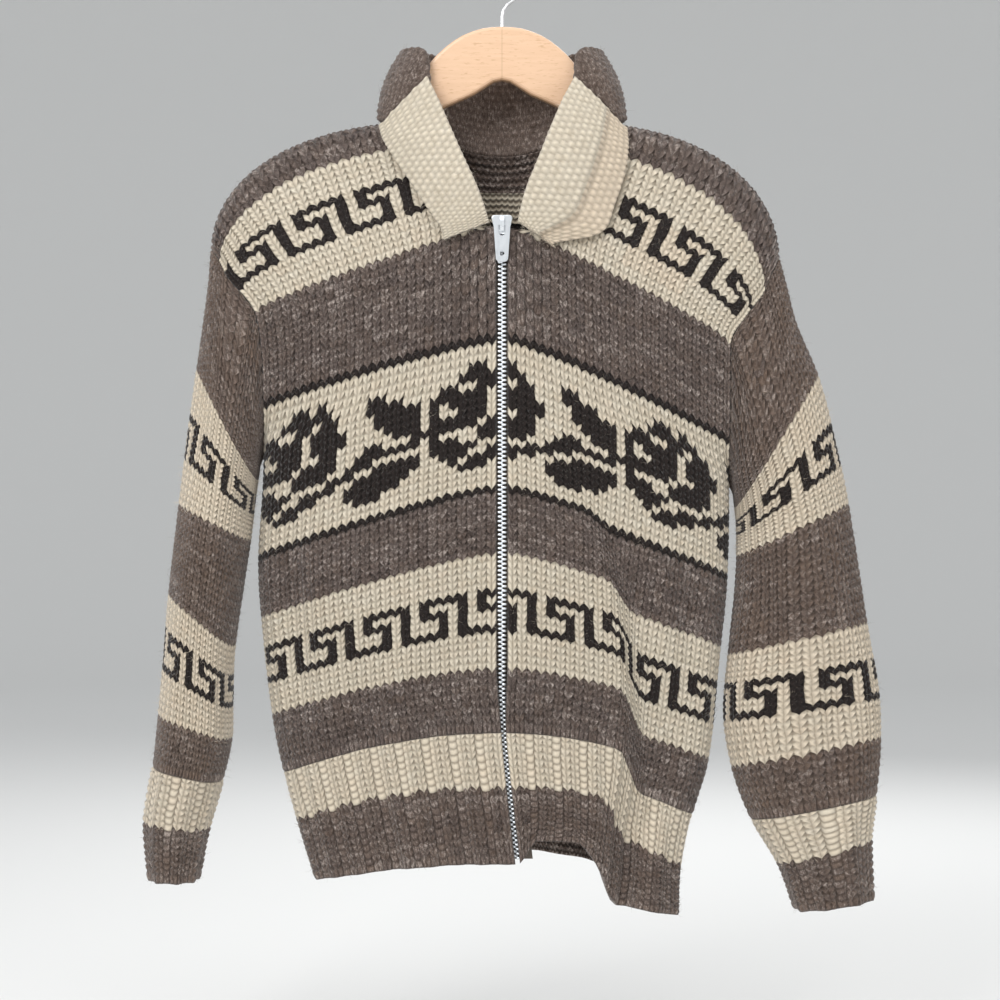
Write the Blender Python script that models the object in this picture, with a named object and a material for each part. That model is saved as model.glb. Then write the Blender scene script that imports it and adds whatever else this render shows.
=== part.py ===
"""A heavy hand-knitted zip cardigan hanging on a wooden hanger.

Every cloth piece is a wall with an outer and an inner face. The body is worked out from a table of
knit courses, from the hem up to the shoulder seam, and the sleeves from a table of rings. Tables
are in millimetres. The frame is in metres: +Z up, the front faces -Y, and the origin is the inside
top of the hook. Right and left are the wearer's, so the right side lies at -X.
"""
from collections import namedtuple
from math import cos, exp, hypot, pi, radians, sin, sqrt

import bmesh
import bpy
import numpy as np

MM = 0.001
FRONT = -1
BACK = 1
RIGHT = -1
LEFT = 1

CLOTH = 5.0
RIB_CLOTH = 4.2
RIB_RELIEF = 1.7
COLLAR_CLOTH = 7.0
SEAM = 0.3
RIB_SEAM = 0.7

RIB_TOP = 18
UNDERARM = 66
ROLL = 104
SHOULDER = 107
ROLL_DEPTH = 15.0
NECK_HALF_FRACTION = 0.42
NECK_SQUARENESS = 0.6
SECTION_POWER = 2.5

HALF_COLUMNS = 18
CUFF_RIBS = 8
COURSE_HEIGHT = 6.5
PANEL_COURSES = (18, 24, 30, 36, 42, 47, 51, 56, 61, 66)
ARMHOLE_COURSES = (66, 69, 72, 79, 86, 88, 95, 102, 104, 105.3, 106.2, 107)
RIB_COURSES = (0, 5, 10, 14, 18)

# One row for each knit course that was measured: its place at the zip, at both sides, how far the
# front, the back and the armhole edge stand off the middle plane, and how the course bends.
Course = namedtuple("Course", "course zip_x zip_z right_z left_z right_x left_x "
                              "front back armhole bow corner sag neck")
COURSES = (
    Course(0, 14, -820, -839, -871, 170, 161, 48, 52, 0, 2.2, 0, 0, 0),
    Course(10, 6.5, -755, -787, -829, 186, 163, 46, 50, 0, 2.4, 0, 0, 0),
    Course(18, 1.5, -703, -742, -780, 198, 173, 47, 50, 0, 2.0, 0, 0, 0),
    Course(26, 0, -649, -692, -732, 208, 187, 49, 50, 0, 1.6, 0, 0, 0),
    Course(42, 0, -545, -604, -631, 218, 198, 50, 50, 0, 1.25, 0, 3, 0),
    Course(51, 0, -491, -554, -571, 221, 204, 49, 50, 0, 1.25, 0, 6, 0),
    Course(66, 0, -396, -456, -482, 216, 206, 45, 48, 0, 1.2, 0, 16, 0),
    Course(72, 0, -350, -409, -442, 216, 206, 42, 46, 18, 1.2, 0, 22, 0),
    Course(86, 0, -248, -329, -358, 222, 206, 38, 40, 25, 1.0, 0.1, 42, 1),
    Course(95, 0, -200, -297, -329, 246, 221, 26, 29, 21, 1.1, 0.4, 48, 9),
    Course(102, 0, -168, -281, -308, 255, 237, 18, 18, 16, 1.2, 0.7, 44, 19),
    Course(104, 0, -162, -277, -297, 257, 241, 15, 15, 14, 1.2, 0.9, 38, 24),
    Course(107, 0, -149, -268, -276, 264, 252, 15, 15, 14, 1.2, 1, 28, 36),
)

# The deep fold of the left front: where it lies across the front, how far each course drops there
# and how far the cloth behind it falls back.
Fold = namedtuple("Fold", "course across drop trough")
LEFT_FRONT_FOLD = (
    Fold(0, 0.55, 34, 16),
    Fold(10, 0.60, 34, 16),
    Fold(18, 0.66, 36, 14),
    Fold(26, 0.625, 38, 12),
    Fold(42, 0.54, 24, 8),
    Fold(51, 0.43, 12, 4),
    Fold(60, 0.38, 0, 0),
    Fold(107, 0.38, 0, 0),
)
FOLD_WIDTH = 0.13
HEM_LIFT = 21.0
HEM_LIFT_COURSES = 12

# Soft folds of the panels: face, side, place across, first and last course, half width, depth.
Crease = namedtuple("Crease", "face side across first last width depth")
CREASES = (
    Crease(FRONT, RIGHT, 0.30, 0, 34, 0.10, 5),
    Crease(FRONT, RIGHT, 0.62, 0, 40, 0.09, 6),
    Crease(FRONT, RIGHT, 0.86, 20, 64, 0.06, 6),
    Crease(FRONT, LEFT, 0.84, 20, 60, 0.07, 6),
    Crease(BACK, RIGHT, 0.22, 0, 44, 0.09, 7),
    Crease(BACK, RIGHT, 0.68, 0, 70, 0.10, 9),
    Crease(BACK, LEFT, 0.30, 0, 52, 0.10, 9),
    Crease(BACK, LEFT, 0.74, 0, 76, 0.09, 8),
)

# Sleeve rings: knit course from the armhole, outer and inner point, half depth, forward shift.
Ring = namedtuple("Ring", "course outer_x outer_z inner_x inner_z depth forward")
RIGHT_SLEEVE = (
    Ring(0, -264, -268, -216, -456, 26, 0),
    Ring(5, -266, -297, -219, -460, 32, 0),
    Ring(10, -270, -329, -221, -466, 36, 0),
    Ring(18, -277, -379, -223, -478, 42, 1),
    Ring(27, -285, -439, -226, -500, 48, 3),
    Ring(36, -292.5, -501, -230, -534, 52, 5),
    Ring(51, -301.5, -581, -244, -630, 54, 6),
    Ring(60, -306, -636, -246, -676, 54, 6),
    Ring(68, -311, -691, -247, -714, 52, 6),
    Ring(75, -316, -736, -255, -750, 47, 5),
    Ring(83, -324, -790, -268, -796, 33, 3),
    Ring(91, -320, -840, -277, -841, 28, 2),
)
LEFT_SLEEVE = (
    Ring(0, 252, -276, 206, -482, 26, 0),
    Ring(5, 259, -303, 209, -486, 29, 0),
    Ring(10, 267, -334, 211, -491, 31, 0),
    Ring(18, 288, -385, 212.5, -503, 32, 1),
    Ring(27, 304, -448, 214, -521, 32, 2),
    Ring(36, 315, -502, 214, -548, 32, 3),
    Ring(51, 332, -610, 206, -638, 31, 4),
    Ring(60, 342, -666, 202, -686, 31, 4),
    Ring(68, 344, -713, 210, -740, 31, 4),
    Ring(75, 340, -763, 227, -785, 31, 3),
    Ring(83, 335, -806, 252, -827, 29, 2),
    Ring(91, 337, -858, 267, -868, 27, 1),
)
SLEEVES = {RIGHT: RIGHT_SLEEVE, LEFT: LEFT_SLEEVE}
SLEEVE_COURSES = (0, 3, 6, 10, 14, 18, 23, 28, 34, 40, 46, 51, 56, 61, 66, 71, 75)
CUFF_COURSES = (75, 79, 83, 87, 91)
ARMHOLE_FADE = 16

# Sleeve folds: side, angle round from the outer edge over the front, first and last course.
SleeveFold = namedtuple("SleeveFold", "side angle lean first last width depth")
SLEEVE_FOLDS = (
    SleeveFold(RIGHT, 95, -0.2, 40, 80, 24, 9),
    SleeveFold(RIGHT, 60, 1.4, 12, 34, 20, 6),
    SleeveFold(RIGHT, 255, 0.6, 30, 70, 26, 8),
    SleeveFold(LEFT, 118, -1.2, 34, 62, 18, 6),
    SleeveFold(LEFT, 70, 1.0, 52, 78, 18, 6),
    SleeveFold(LEFT, 250, -0.8, 24, 64, 24, 7),
)

NECK_EDGE_TOP = 111.0
NECK_EDGE_FOOT = 48.0
NECK_FOOT_COURSE = 88
ZIP_TOP_COURSE = 86
ZIP_GAP = 5.0
ZIP_GAP_CLOSED = 2.0

# Collar fronts: knit course of the neck edge, then the free edge.
LapelStation = namedtuple("LapelStation", "course free_x free_y free_z lap crown")
LAPELS = {
    RIGHT: (
        LapelStation(86.6, -10, -46, -247, 6, 2),
        LapelStation(91, -22, -46, -214, 8, 4),
        LapelStation(96, -34, -43, -188, 8, 5),
        LapelStation(100.5, -46, -37, -160, 8, 6),
        LapelStation(103.6, -56, -30, -136, 8, 6),
        LapelStation(105, -67, -21, -112, 7, 5),
    ),
    LEFT: (
        LapelStation(86.6, 14, -46, -243, 30, 2),
        LapelStation(91, 20, -46, -218, 31, 4),
        LapelStation(96, 31, -43, -190, 28, 5),
        LapelStation(100.5, 42, -37, -162, 22, 6),
        LapelStation(103.6, 53, -30, -136, 15, 6),
        LapelStation(105, 65, -21, -113, 9, 5),
    ),
}
LAPEL_COLUMNS = 6
LAPEL_RISE = 4.0

# Back collar, from the end of a collar front round to the middle of the back. The two end rows pass
# over the shoulder; the others stand on the back's neck edge, at a distance sideways.
CollarEnd = namedtuple("CollarEnd", "base_x base_y base_z free_x free_y free_z crown")
COLLAR_ENDS = (
    CollarEnd(111, -12, -150.5, 82, -14, -104, 4),
    CollarEnd(113, 0, -150.5, 103, 2, -96, 5),
)
CollarStation = namedtuple("CollarStation", "base_x free_x free_y free_z crown")
COLLAR_BACK = (
    CollarStation(105, 100, 16, -88, 6),
    CollarStation(94, 88, 28, -83, 7),
    CollarStation(80, 72, 39, -82, 8),
    CollarStation(62, 54, 45, -85, 8),
    CollarStation(42, 36, 50, -88, 8),
    CollarStation(21, 18, 52, -91, 8),
    CollarStation(0, 0, 53, -92, 8),
)
COLLAR_STAND = (1.0, 0.8)
COLLAR_COLUMNS = 5

CHAIN_WIDTH = 8.5
CHAIN_DEPTH = 3.0
CHAIN_SET_BACK = 2.0
CHAIN_SET_BACK_CLOSED = 5.4
TAPE_WIDTH = 14.0
TAPE_DEPTH = 1.2
TAPE_LEAN = 0.07
ZIP_COURSES = (0.6, 5, 10, 14, 18, 24, 28, 30, 32, 36, 42, 47, 51, 56, 61, 66, 72, 79)
CHAIN_TOP = 85.7
TAPE_TOP = 84.0

SLIDER_TOP_Z = -240.5
SLIDER_HEIGHT = 17.0
SLIDER_WIDTH = 19.0
SLIDER_FOOT_WIDTH = 12.5
PLATE_DEPTH = 2.4
BACK_PLATE_DEPTH = 1.8
POST_WIDTH = 7.0
POST_HEIGHT = 4.5
TAB_LENGTH = 35.0
TAB_TOP_WIDTH = 15.0
TAB_FOOT_WIDTH = 11.0
TAB_DEPTH = 1.6
TAB_TOP_BAR = 1.0
SLOT_WIDTH = 6.4
SLOT_LENGTH = 9.5
TAB_HOLE = 4.2
PIVOT_Z = -248.6
PIVOT_OFF_PLATE = 1.7
BAIL_CLEARANCE = 1.5
BAIL_WIDTH = 3.6
BAIL_HALF_SPAN = 5.0
BAIL_THICK = 1.2

WOOD_DEPTH = 12.0
WOOD_ROUND = 3.2
WOOD_STEPS = 2
WOOD_GAP = 2.7
TIP_GAP = 1.6
WOOD_PEAK_Z = -65.0
HOOK_WIRE = 3.0
HOOK_INNER = 19.0

Look = namedtuple("Look", "color roughness metallic")
LOOKS = {
    "grey_wool": Look((0.155, 0.120, 0.100), 0.95, 0.0),
    "cream_wool": Look((0.80, 0.72, 0.58), 0.95, 0.0),
    "zip_metal": Look((0.78, 0.82, 0.86), 0.3, 1.0),
    "zip_tape": Look((0.35, 0.29, 0.25), 0.9, 0.0),
    "beech": Look((0.85, 0.60, 0.36), 0.45, 0.0),
    "steel": Look((0.62, 0.62, 0.62), 0.3, 1.0),
}


def clear_scene():
    for thing in list(bpy.data.objects):
        bpy.data.objects.remove(thing, do_unlink=True)


def new_collection(name):
    group = bpy.data.collections.new(name)
    bpy.context.scene.collection.children.link(group)
    return group


def look_of(name):
    made = bpy.data.materials.get(name)
    if made:
        return made
    look = LOOKS[name]
    made = bpy.data.materials.new(name)
    made.use_nodes = True
    shader = made.node_tree.nodes["Principled BSDF"]
    shader.inputs["Base Color"].default_value = (*look.color, 1.0)
    shader.inputs["Roughness"].default_value = look.roughness
    shader.inputs["Metallic"].default_value = look.metallic
    return made


def smoothstep(value):
    value = min(1.0, max(0.0, value))
    return value * value * (3 - 2 * value)


def bump(value):
    """One at zero, falling softly to nothing at one."""
    return (1 - value * value) ** 2 if abs(value) < 1 else 0.0


def unit(vector):
    return vector / max(np.linalg.norm(vector), 1e-12)


def read(table, at, name):
    """Value of a column between the rows of a table, on a smooth curve through them."""
    xs = [row[0] for row in table]
    ys = [getattr(row, name) for row in table]
    if at <= xs[0]:
        return ys[0]
    if at >= xs[-1]:
        return ys[-1]
    low = max(i for i, x in enumerate(xs) if x <= at)
    high = low + 1
    span = xs[high] - xs[low]

    def slope(i):
        before, after = max(i - 1, 0), min(i + 1, len(xs) - 1)
        steady = (ys[after] - ys[i]) * (ys[i] - ys[before]) > 0 or i in (0, len(xs) - 1)
        return (ys[after] - ys[before]) / (xs[after] - xs[before]) if steady else 0.0

    f = (at - xs[low]) / span
    return (ys[low] * (1 + 2 * f) * (1 - f) ** 2 + ys[high] * f * f * (3 - 2 * f)
            + slope(low) * span * f * (1 - f) ** 2 - slope(high) * span * f * f * (1 - f))


def course_value(course, name, roll_share):
    """A body column; above the roll it runs from the roll's row to the shoulder's by roll_share."""
    if course <= ROLL:
        return read(COURSES, course, name)
    low = read(COURSES, ROLL, name)
    top = read(COURSES, SHOULDER, name)
    return top + (low - top) * roll_share


def body_point(face, side, turn, course):
    """Outer point of the body in mm; turn runs from 0 at the zip to a quarter turn at the side."""
    if course > SHOULDER:
        face, course = -face, 2 * SHOULDER - course
    if turn > pi / 2:
        closed = course <= UNDERARM
        face = -face if closed else face
        turn = pi - turn if closed else pi / 2
    across = sin(turn)
    neckness = bump(across / NECK_HALF_FRACTION) if face == BACK else 0.0
    roll_angle = min(1.0, (SHOULDER - course) / (SHOULDER - ROLL)) * pi / 2
    share = (1 - cos(roll_angle)) * (1 - neckness) + neckness * roll_angle / (pi / 2)

    def value(name):
        return course_value(course, name, share)

    side_name = "left" if side == LEFT else "right"
    zip_x, zip_z = value("zip_x"), value("zip_z")
    x = zip_x + (side * value(side_name + "_x") - zip_x) * across
    drop = zip_z - value(side_name + "_z")
    corner = value("corner")
    bend = (1 - corner) * across ** value("bow") + corner * (1 - sqrt(max(0.0, 1 - across ** 3)))
    z = zip_z - drop * bend
    depth = value("front" if face == FRONT else "back")
    armhole = 0.0 if course <= UNDERARM else value("armhole")
    power = 0.4 + 0.4 * min(1.0, armhole / 15)
    y = armhole + (depth - armhole) * max(0.0, 1 - across ** SECTION_POWER) ** power
    y *= sin(roll_angle)
    if face == BACK:
        width = min(1.0, NECK_HALF_FRACTION + (SHOULDER - course) * 0.02)
        z -= value("sag") * bump(across / width)
        y = y * (1 - neckness) + neckness * ROLL_DEPTH * min(1.0, y / ROLL_DEPTH) \
            if course > ROLL else y
        y += value("neck") * max(0.0, 1 - (across / NECK_HALF_FRACTION) ** 2) ** NECK_SQUARENESS
    if face == FRONT and side == LEFT and course < 60:
        fold_at = read(LEFT_FRONT_FOLD, course, "across")
        fold_drop = read(LEFT_FRONT_FOLD, course, "drop")
        trough = read(LEFT_FRONT_FOLD, course, "trough")
        z += fold_drop * bend
        z -= fold_drop * smoothstep((across - fold_at) / FOLD_WIDTH + 0.5)
        lift = HEM_LIFT * max(0.0, 1 - course / HEM_LIFT_COURSES) ** 1.5
        z += lift * smoothstep(across / 0.12) * (1 - smoothstep((across - 0.36) / 0.16))
        y -= trough * bump((across - fold_at - 0.1) / 0.16)
    for crease in CREASES:
        if (crease.face, crease.side) == (face, side) and crease.first <= course <= crease.last:
            fade = (crease.last - course) / (crease.last - crease.first)
            fade = smoothstep(2 * fade) * (smoothstep(4 * (1 - fade)) if crease.first else 1.0)
            y -= crease.depth * fade * bump((across - crease.across) / (1.6 * crease.width))
    return np.array((x, face * max(y, SEAM / 2), z))


def body_normal(face, side, turn, course):
    step = 0.004
    low = max(course - 0.2, 0.0)
    along = body_point(face, side, turn, course + 0.2) - body_point(face, side, turn, low)
    behind = turn - step if turn > step else turn
    across = body_point(face, side, turn + step, course) - body_point(face, side, behind, course)
    if across[0] * side < 0 and abs(across[0]) > abs(across[1]):
        across = -across
    return unit(np.cross(across, along)) * -face * side


def front_edge(course):
    """Distance of a front's inner edge from the middle: the zip edge, then the neck edge."""
    if course <= ZIP_TOP_COURSE:
        return ZIP_GAP_CLOSED + (ZIP_GAP - ZIP_GAP_CLOSED) * smoothstep((course - 18) / 10)
    if course <= NECK_FOOT_COURSE:
        share = (course - ZIP_TOP_COURSE) / (NECK_FOOT_COURSE - ZIP_TOP_COURSE)
        return ZIP_GAP + (NECK_EDGE_FOOT - ZIP_GAP) * share
    share = (course - NECK_FOOT_COURSE) / (SHOULDER - NECK_FOOT_COURSE)
    return NECK_EDGE_FOOT + (NECK_EDGE_TOP - NECK_EDGE_FOOT) * share


def turn_at(face, side, course, distance):
    """The turn at which the outer face is a given distance sideways of the zip line."""
    start = body_point(face, side, 0.0, course)[0]
    end = body_point(face, side, pi / 2, course)[0]
    return float(np.arcsin(min(1.0, distance / abs(end - start))))


def even_turns(face, side, course, first_turn, columns):
    """Turns from first_turn to the side, an equal length of cloth apart."""
    fine = np.linspace(first_turn, pi / 2, 61)
    points = np.array([body_point(face, side, turn, course) for turn in fine])
    length = np.concatenate([[0], np.cumsum(np.linalg.norm(np.diff(points, axis=0), axis=1))])
    return np.interp(np.linspace(0, length[-1], columns + 1), length, fine)


def armhole_inward(face, side, course):
    """Direction from the armhole edge towards the middle of the armhole."""
    edge = body_point(face, side, pi / 2, course)
    middle = body_point(face, side, pi / 2, min(max(course, 75), 98))
    middle[1] = 0.0
    if course <= UNDERARM:
        edge[1] = 0.0
    if course >= SHOULDER:
        edge[1] = 0.0
    return unit(middle - edge)


def wall_pair(face, side, turn, course, thickness=CLOTH, relief=0.0):
    """Outer and inner point of the body's wall."""
    outer = body_point(face, side, turn, course)
    normal = body_normal(face, side, turn, course)
    if turn >= pi / 2 and course >= UNDERARM:
        return outer, outer + armhole_inward(face, side, course) * thickness
    if turn >= pi / 2:
        normal = np.array((float(side), 0.0, 0.0))
    if abs(course - RIB_TOP) < 0.5:
        normal = unit(normal * np.array((1.0, 1.0, 0.0)))
    inner = outer - normal * thickness
    if course >= SHOULDER or turn >= pi / 2:
        inner[1] = face * max(face * inner[1], SEAM / 2)
    return outer + normal * relief, inner


def solid_from_grids(name, outer, inner, look, group, ring=False):
    """One closed wall from an outer and an inner grid of points, given in mm."""
    rows, columns = len(outer), len(outer[0])
    mesh = bmesh.new()
    grids = []
    for grid in (outer, inner):
        grids.append([[mesh.verts.new(np.array(p) * MM) for p in row] for row in grid])
    steps = columns if ring else columns - 1

    def face_of(*corners):
        mesh.faces.new(corners)

    for j in range(rows - 1):
        for i in range(steps):
            k = (i + 1) % columns
            a, b = grids
            face_of(a[j][i], a[j][k], a[j + 1][k], a[j + 1][i])
            face_of(b[j][i], b[j + 1][i], b[j + 1][k], b[j][k])
    for i in range(steps):
        k = (i + 1) % columns
        for j in (0, rows - 1):
            face_of(grids[0][j][i], grids[1][j][i], grids[1][j][k], grids[0][j][k])
    if not ring:
        for j in range(rows - 1):
            for i in (0, columns - 1):
                face_of(grids[0][j][i], grids[0][j + 1][i], grids[1][j + 1][i], grids[1][j][i])
    bmesh.ops.recalc_face_normals(mesh, faces=mesh.faces)
    bmesh.ops.triangulate(mesh, faces=mesh.faces)
    data = bpy.data.meshes.new(name)
    mesh.to_mesh(data)
    mesh.free()
    data.shade_smooth()
    data.set_sharp_from_angle(angle=radians(50))
    return place_piece(name, data, look, group)


def place_piece(name, data, look, group):
    data.materials.append(look_of(look))
    piece = bpy.data.objects.new(name, data)
    group.objects.link(piece)
    return piece


def panel(name, face, sides, courses, look, group):
    """A front (one side) or the back (both sides) above the ribs."""
    outer, inner = [], []
    for course in courses:
        pairs = []
        for side in sides:
            first = 0.0
            if face == FRONT:
                first = turn_at(face, side, course, front_edge(course))
            turns = even_turns(face, side, course, first, HALF_COLUMNS)
            strip = [wall_pair(face, side, turn, course) for turn in turns]
            if len(sides) > 1:
                strip = strip[::-1] if side == sides[0] else strip[1:]
            pairs += strip
        outer.append([pair[0] for pair in pairs])
        inner.append([pair[1] for pair in pairs])
    return solid_from_grids(name, outer, inner, look, group)


def rib_shape(step):
    """Height of a rib at its quarter steps: a narrow valley and a broad rounded back."""
    return (0.0, 0.85, 1.0, 0.85)[step % 4]


def hem_rib(name, face, sides, group):
    """The ribbed hem under one panel; its top row follows the panel's lower edge."""
    outer, inner = [], []
    seam_courses = RIB_SEAM / COURSE_HEIGHT
    for course in RIB_COURSES:
        at_course = course - seam_courses if course == RIB_TOP else course
        height = 0.0 if course == RIB_TOP else RIB_RELIEF
        pairs = []
        for side in sides:
            first = 0.0
            if face == FRONT:
                first = turn_at(face, side, course, front_edge(course))
            turns = even_turns(face, side, course, first, HALF_COLUMNS)
            strip = []
            for i, turn in enumerate(turns):
                relief = height * rib_shape(2 * i)
                strip.append(wall_pair(face, side, turn, at_course, RIB_CLOTH, relief))
                if i < HALF_COLUMNS:
                    relief = height * rib_shape(2 * i + 1)
                    strip.append(rib_between(face, side, turn, turns[i + 1], at_course, relief))
            if len(sides) > 1:
                strip = strip[::-1] if side == sides[0] else strip[1:]
            pairs += strip
        outer.append([pair[0] for pair in pairs])
        inner.append([pair[1] for pair in pairs])
    return solid_from_grids(name, outer, inner, "grey_wool", group)


def rib_between(face, side, turn, next_turn, course, relief):
    """A rib's point midway between two columns, so its seam edge stays straight with theirs."""
    one = wall_pair(face, side, turn, course, RIB_CLOTH)
    two = wall_pair(face, side, next_turn, course, RIB_CLOTH)
    outer = (one[0] + two[0]) / 2
    inner = (one[1] + two[1]) / 2
    return outer + unit(outer - inner) * relief, inner


def sleeve_ring(side, course, angles):
    """Points of one sleeve ring before it meets the armhole; angle 0 is the outer edge."""
    table = SLEEVES[side]
    outer = np.array((read(table, course, "outer_x"), 0.0, read(table, course, "outer_z")))
    inner = np.array((read(table, course, "inner_x"), 0.0, read(table, course, "inner_z")))
    depth = read(table, course, "depth")
    forward = read(table, course, "forward")
    middle, reach = (outer + inner) / 2, (outer - inner) / 2
    points = []
    for angle in angles:
        c, s = cos(angle), sin(angle)
        c = abs(c) ** 0.9 * (1 if c > 0 else -1)
        s = abs(s) ** 0.9 * (1 if s > 0 else -1)
        inward = sleeve_fold_depth(side, course, angle)
        point = middle + reach * c + np.array((0.0, -depth * s - forward * abs(s), 0.0))
        points.append(point - unit(point - middle) * inward)
    return np.array(points)


def sleeve_fold_depth(side, course, angle):
    """How far the folds draw the sleeve in at one place."""
    total = 0.0
    for fold in SLEEVE_FOLDS:
        if fold.side == side and fold.first < course < fold.last:
            share = (course - fold.first) / (fold.last - fold.first)
            centre = fold.angle + fold.lean * (course - (fold.first + fold.last) / 2)
            away = (np.degrees(angle) - centre + 180) % 360 - 180
            total += fold.depth * sin(pi * share) ** 0.8 * exp(-(away / fold.width) ** 2)
    return total


def armhole_loop(side, gap):
    """The armhole's outer and inner points, from the top over the front, then up the back."""
    loop = []
    for face, courses in ((FRONT, ARMHOLE_COURSES[::-1]), (BACK, ARMHOLE_COURSES[1:-1])):
        for course in courses:
            edge, inside = wall_pair(face, side, pi / 2, course)
            if course in (UNDERARM, SHOULDER):
                edge[1] = inside[1] = 0.0
            low = body_point(face, side, pi / 2, max(course - 0.5, UNDERARM))
            high = body_point(face, side, pi / 2, min(course + 0.5, SHOULDER))
            seam_line = high - low
            if course in (UNDERARM, SHOULDER):
                seam_line = np.array((0.0, 1.0, 0.0))
            out = unit(np.cross(seam_line, inside - edge))
            out = out if out[0] * side > 0 else -out
            loop.append((edge + out * gap, inside + out * gap))
    return loop


def ring_walls(rows, thickness):
    """Inner points of a tube from its outer grid, by the grid's own normals."""
    grid = np.array(rows)
    count = len(rows)
    inner = []
    for j in range(count):
        low, high = max(j - 1, 0), min(j + 1, count - 1)
        middle = grid[j].mean(axis=0)
        line = []
        for i in range(len(rows[0])):
            round_way = grid[j][(i + 1) % len(rows[0])] - grid[j][i - 1]
            down_way = grid[high][i] - grid[low][i]
            if j in (0, count - 1):
                quarter = len(rows[0]) // 4
                down_way = np.cross(grid[j][0] - middle, grid[j][quarter] - middle)
            normal = unit(np.cross(round_way, down_way))
            if np.dot(normal, grid[j][i] - middle) < 0:
                normal = -normal
            line.append(grid[j][i] - normal * thickness)
        inner.append(line)
    return inner


def sleeve(name, side, group):
    loop = armhole_loop(side, SEAM)
    count = len(loop)
    angles = [2 * pi * i / count for i in range(count)]
    start = sleeve_ring(side, 0, angles)
    shift = np.array([pair[0] for pair in loop]) - start
    rows = []
    for course in SLEEVE_COURSES:
        keep = 1 - smoothstep(course / ARMHOLE_FADE)
        rows.append(sleeve_ring(side, course, angles) + shift * keep)
    inner = ring_walls(rows, CLOTH)
    inner[0] = [pair[1] for pair in loop]
    return solid_from_grids(name, rows, inner, "grey_wool", group, ring=True)


def cuff(name, side, group):
    count = CUFF_RIBS * 4
    angles = [2 * pi * i / count for i in range(count)]
    plain = []
    for course in CUFF_COURSES:
        at_course = course + SEAM / COURSE_HEIGHT if course == CUFF_COURSES[0] else course
        plain.append(sleeve_ring(side, at_course, angles))
    inner = np.array(ring_walls(plain, RIB_CLOTH))
    outer = np.array(plain)
    relief = np.array([RIB_RELIEF * rib_shape(i) for i in range(count)])
    outward = (outer - inner) / RIB_CLOTH
    raised = outer + outward * relief[None, :, None]
    return solid_from_grids(name, raised, inner, "grey_wool", group, ring=True)


def quad_curve(start, end, crown, outward, share):
    """A soft arch from start to end."""
    return start + (end - start) * share + outward * crown * 4 * share * (1 - share)


def collar_wall(name, stations, look, group, columns, rise=0.0):
    """A band from base to free edge; a station is (base, free edge, outward way, crown)."""
    outer, inner = [], []
    for base, free, outward, crown in stations:
        row_out, row_in = [], []
        for i in range(columns + 1):
            share = i / columns
            point = quad_curve(base, free, crown, outward, share)
            point = point + outward * rise * smoothstep((share - 0.25) / 0.3)
            edge_round = 1 - 0.25 * (share > 0.99)
            row_out.append(point)
            row_in.append(point - outward * COLLAR_CLOTH * edge_round)
        outer.append(row_out)
        inner.append(row_in)
    return solid_from_grids(name, outer, inner, look, group)


def lapel_stations(side):
    stations = []
    for row in LAPELS[side]:
        distance = front_edge(row.course) + row.lap
        turn = turn_at(FRONT, side, row.course, distance)
        on_front, _ = wall_pair(FRONT, side, turn, row.course)
        normal = body_normal(FRONT, side, turn, row.course)
        base = on_front + normal * (COLLAR_CLOTH + SEAM + 0.4)
        free = np.array((row.free_x, row.free_y, row.free_z))
        across = unit(free - base)
        outward = np.array((0.0, -1.0, 0.0))
        outward = unit(outward - across * np.dot(outward, across))
        stations.append((base, free, outward, row.crown))
    return stations


def collar_half(side):
    """Base, free edge and crown of the collar's rows on one side, end first."""
    rows = []
    for row in COLLAR_ENDS:
        rows.append((np.array((side * row.base_x, row.base_y, row.base_z)), row))
    for row in COLLAR_BACK:
        turn = turn_at(BACK, side, SHOULDER, row.base_x)
        base = body_point(BACK, side, turn, SHOULDER)
        rows.append((base + np.array((0.0, *COLLAR_STAND)), row))
    return [(base, np.array((side * row.free_x, row.free_y, row.free_z)), row.crown)
            for base, row in rows]


def collar_stations():
    rows = collar_half(RIGHT) + collar_half(LEFT)[-2::-1]
    stations = []
    for i, (base, free, crown) in enumerate(rows):
        along = rows[min(i + 1, len(rows) - 1)][0] - rows[max(i - 1, 0)][0]
        outward = np.array((-along[1], along[0], 0.0))
        across = unit(free - base)
        outward = unit(outward - across * np.dot(outward, across))
        stations.append((base, free, outward, crown))
    return stations


def zip_line(course):
    """Front of the cloth beside the zip; straight over the last stretch below the neck."""
    if course <= ZIP_COURSES[-1]:
        return body_point(FRONT, LEFT, 0.0, course)
    low = body_point(FRONT, LEFT, 0.0, ZIP_COURSES[-1])
    top = body_point(FRONT, LEFT, 0.0, ZIP_TOP_COURSE)
    return low + (top - low) * (course - ZIP_COURSES[-1]) / (ZIP_TOP_COURSE - ZIP_COURSES[-1])


def zip_strip(name, look, span, set_back, depth, top, group):
    """A flat strip along the zip; span is its two edges' distances from the middle line."""
    outer, inner = [], []
    for course in (*ZIP_COURSES, top):
        middle = zip_line(course)
        extra = (CHAIN_SET_BACK_CLOSED - CHAIN_SET_BACK) * (1 - smoothstep((course - 28) / 8))
        near = middle[1] + set_back + extra
        ends = [(middle[0] + x, near + TAPE_LEAN * abs(x)) for x in span]
        outer.append([np.array((x, y, middle[2])) for x, y in ends])
        inner.append([np.array((x, y + depth, middle[2])) for x, y in ends])
    return solid_from_grids(name, outer, inner, look, group)


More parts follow.
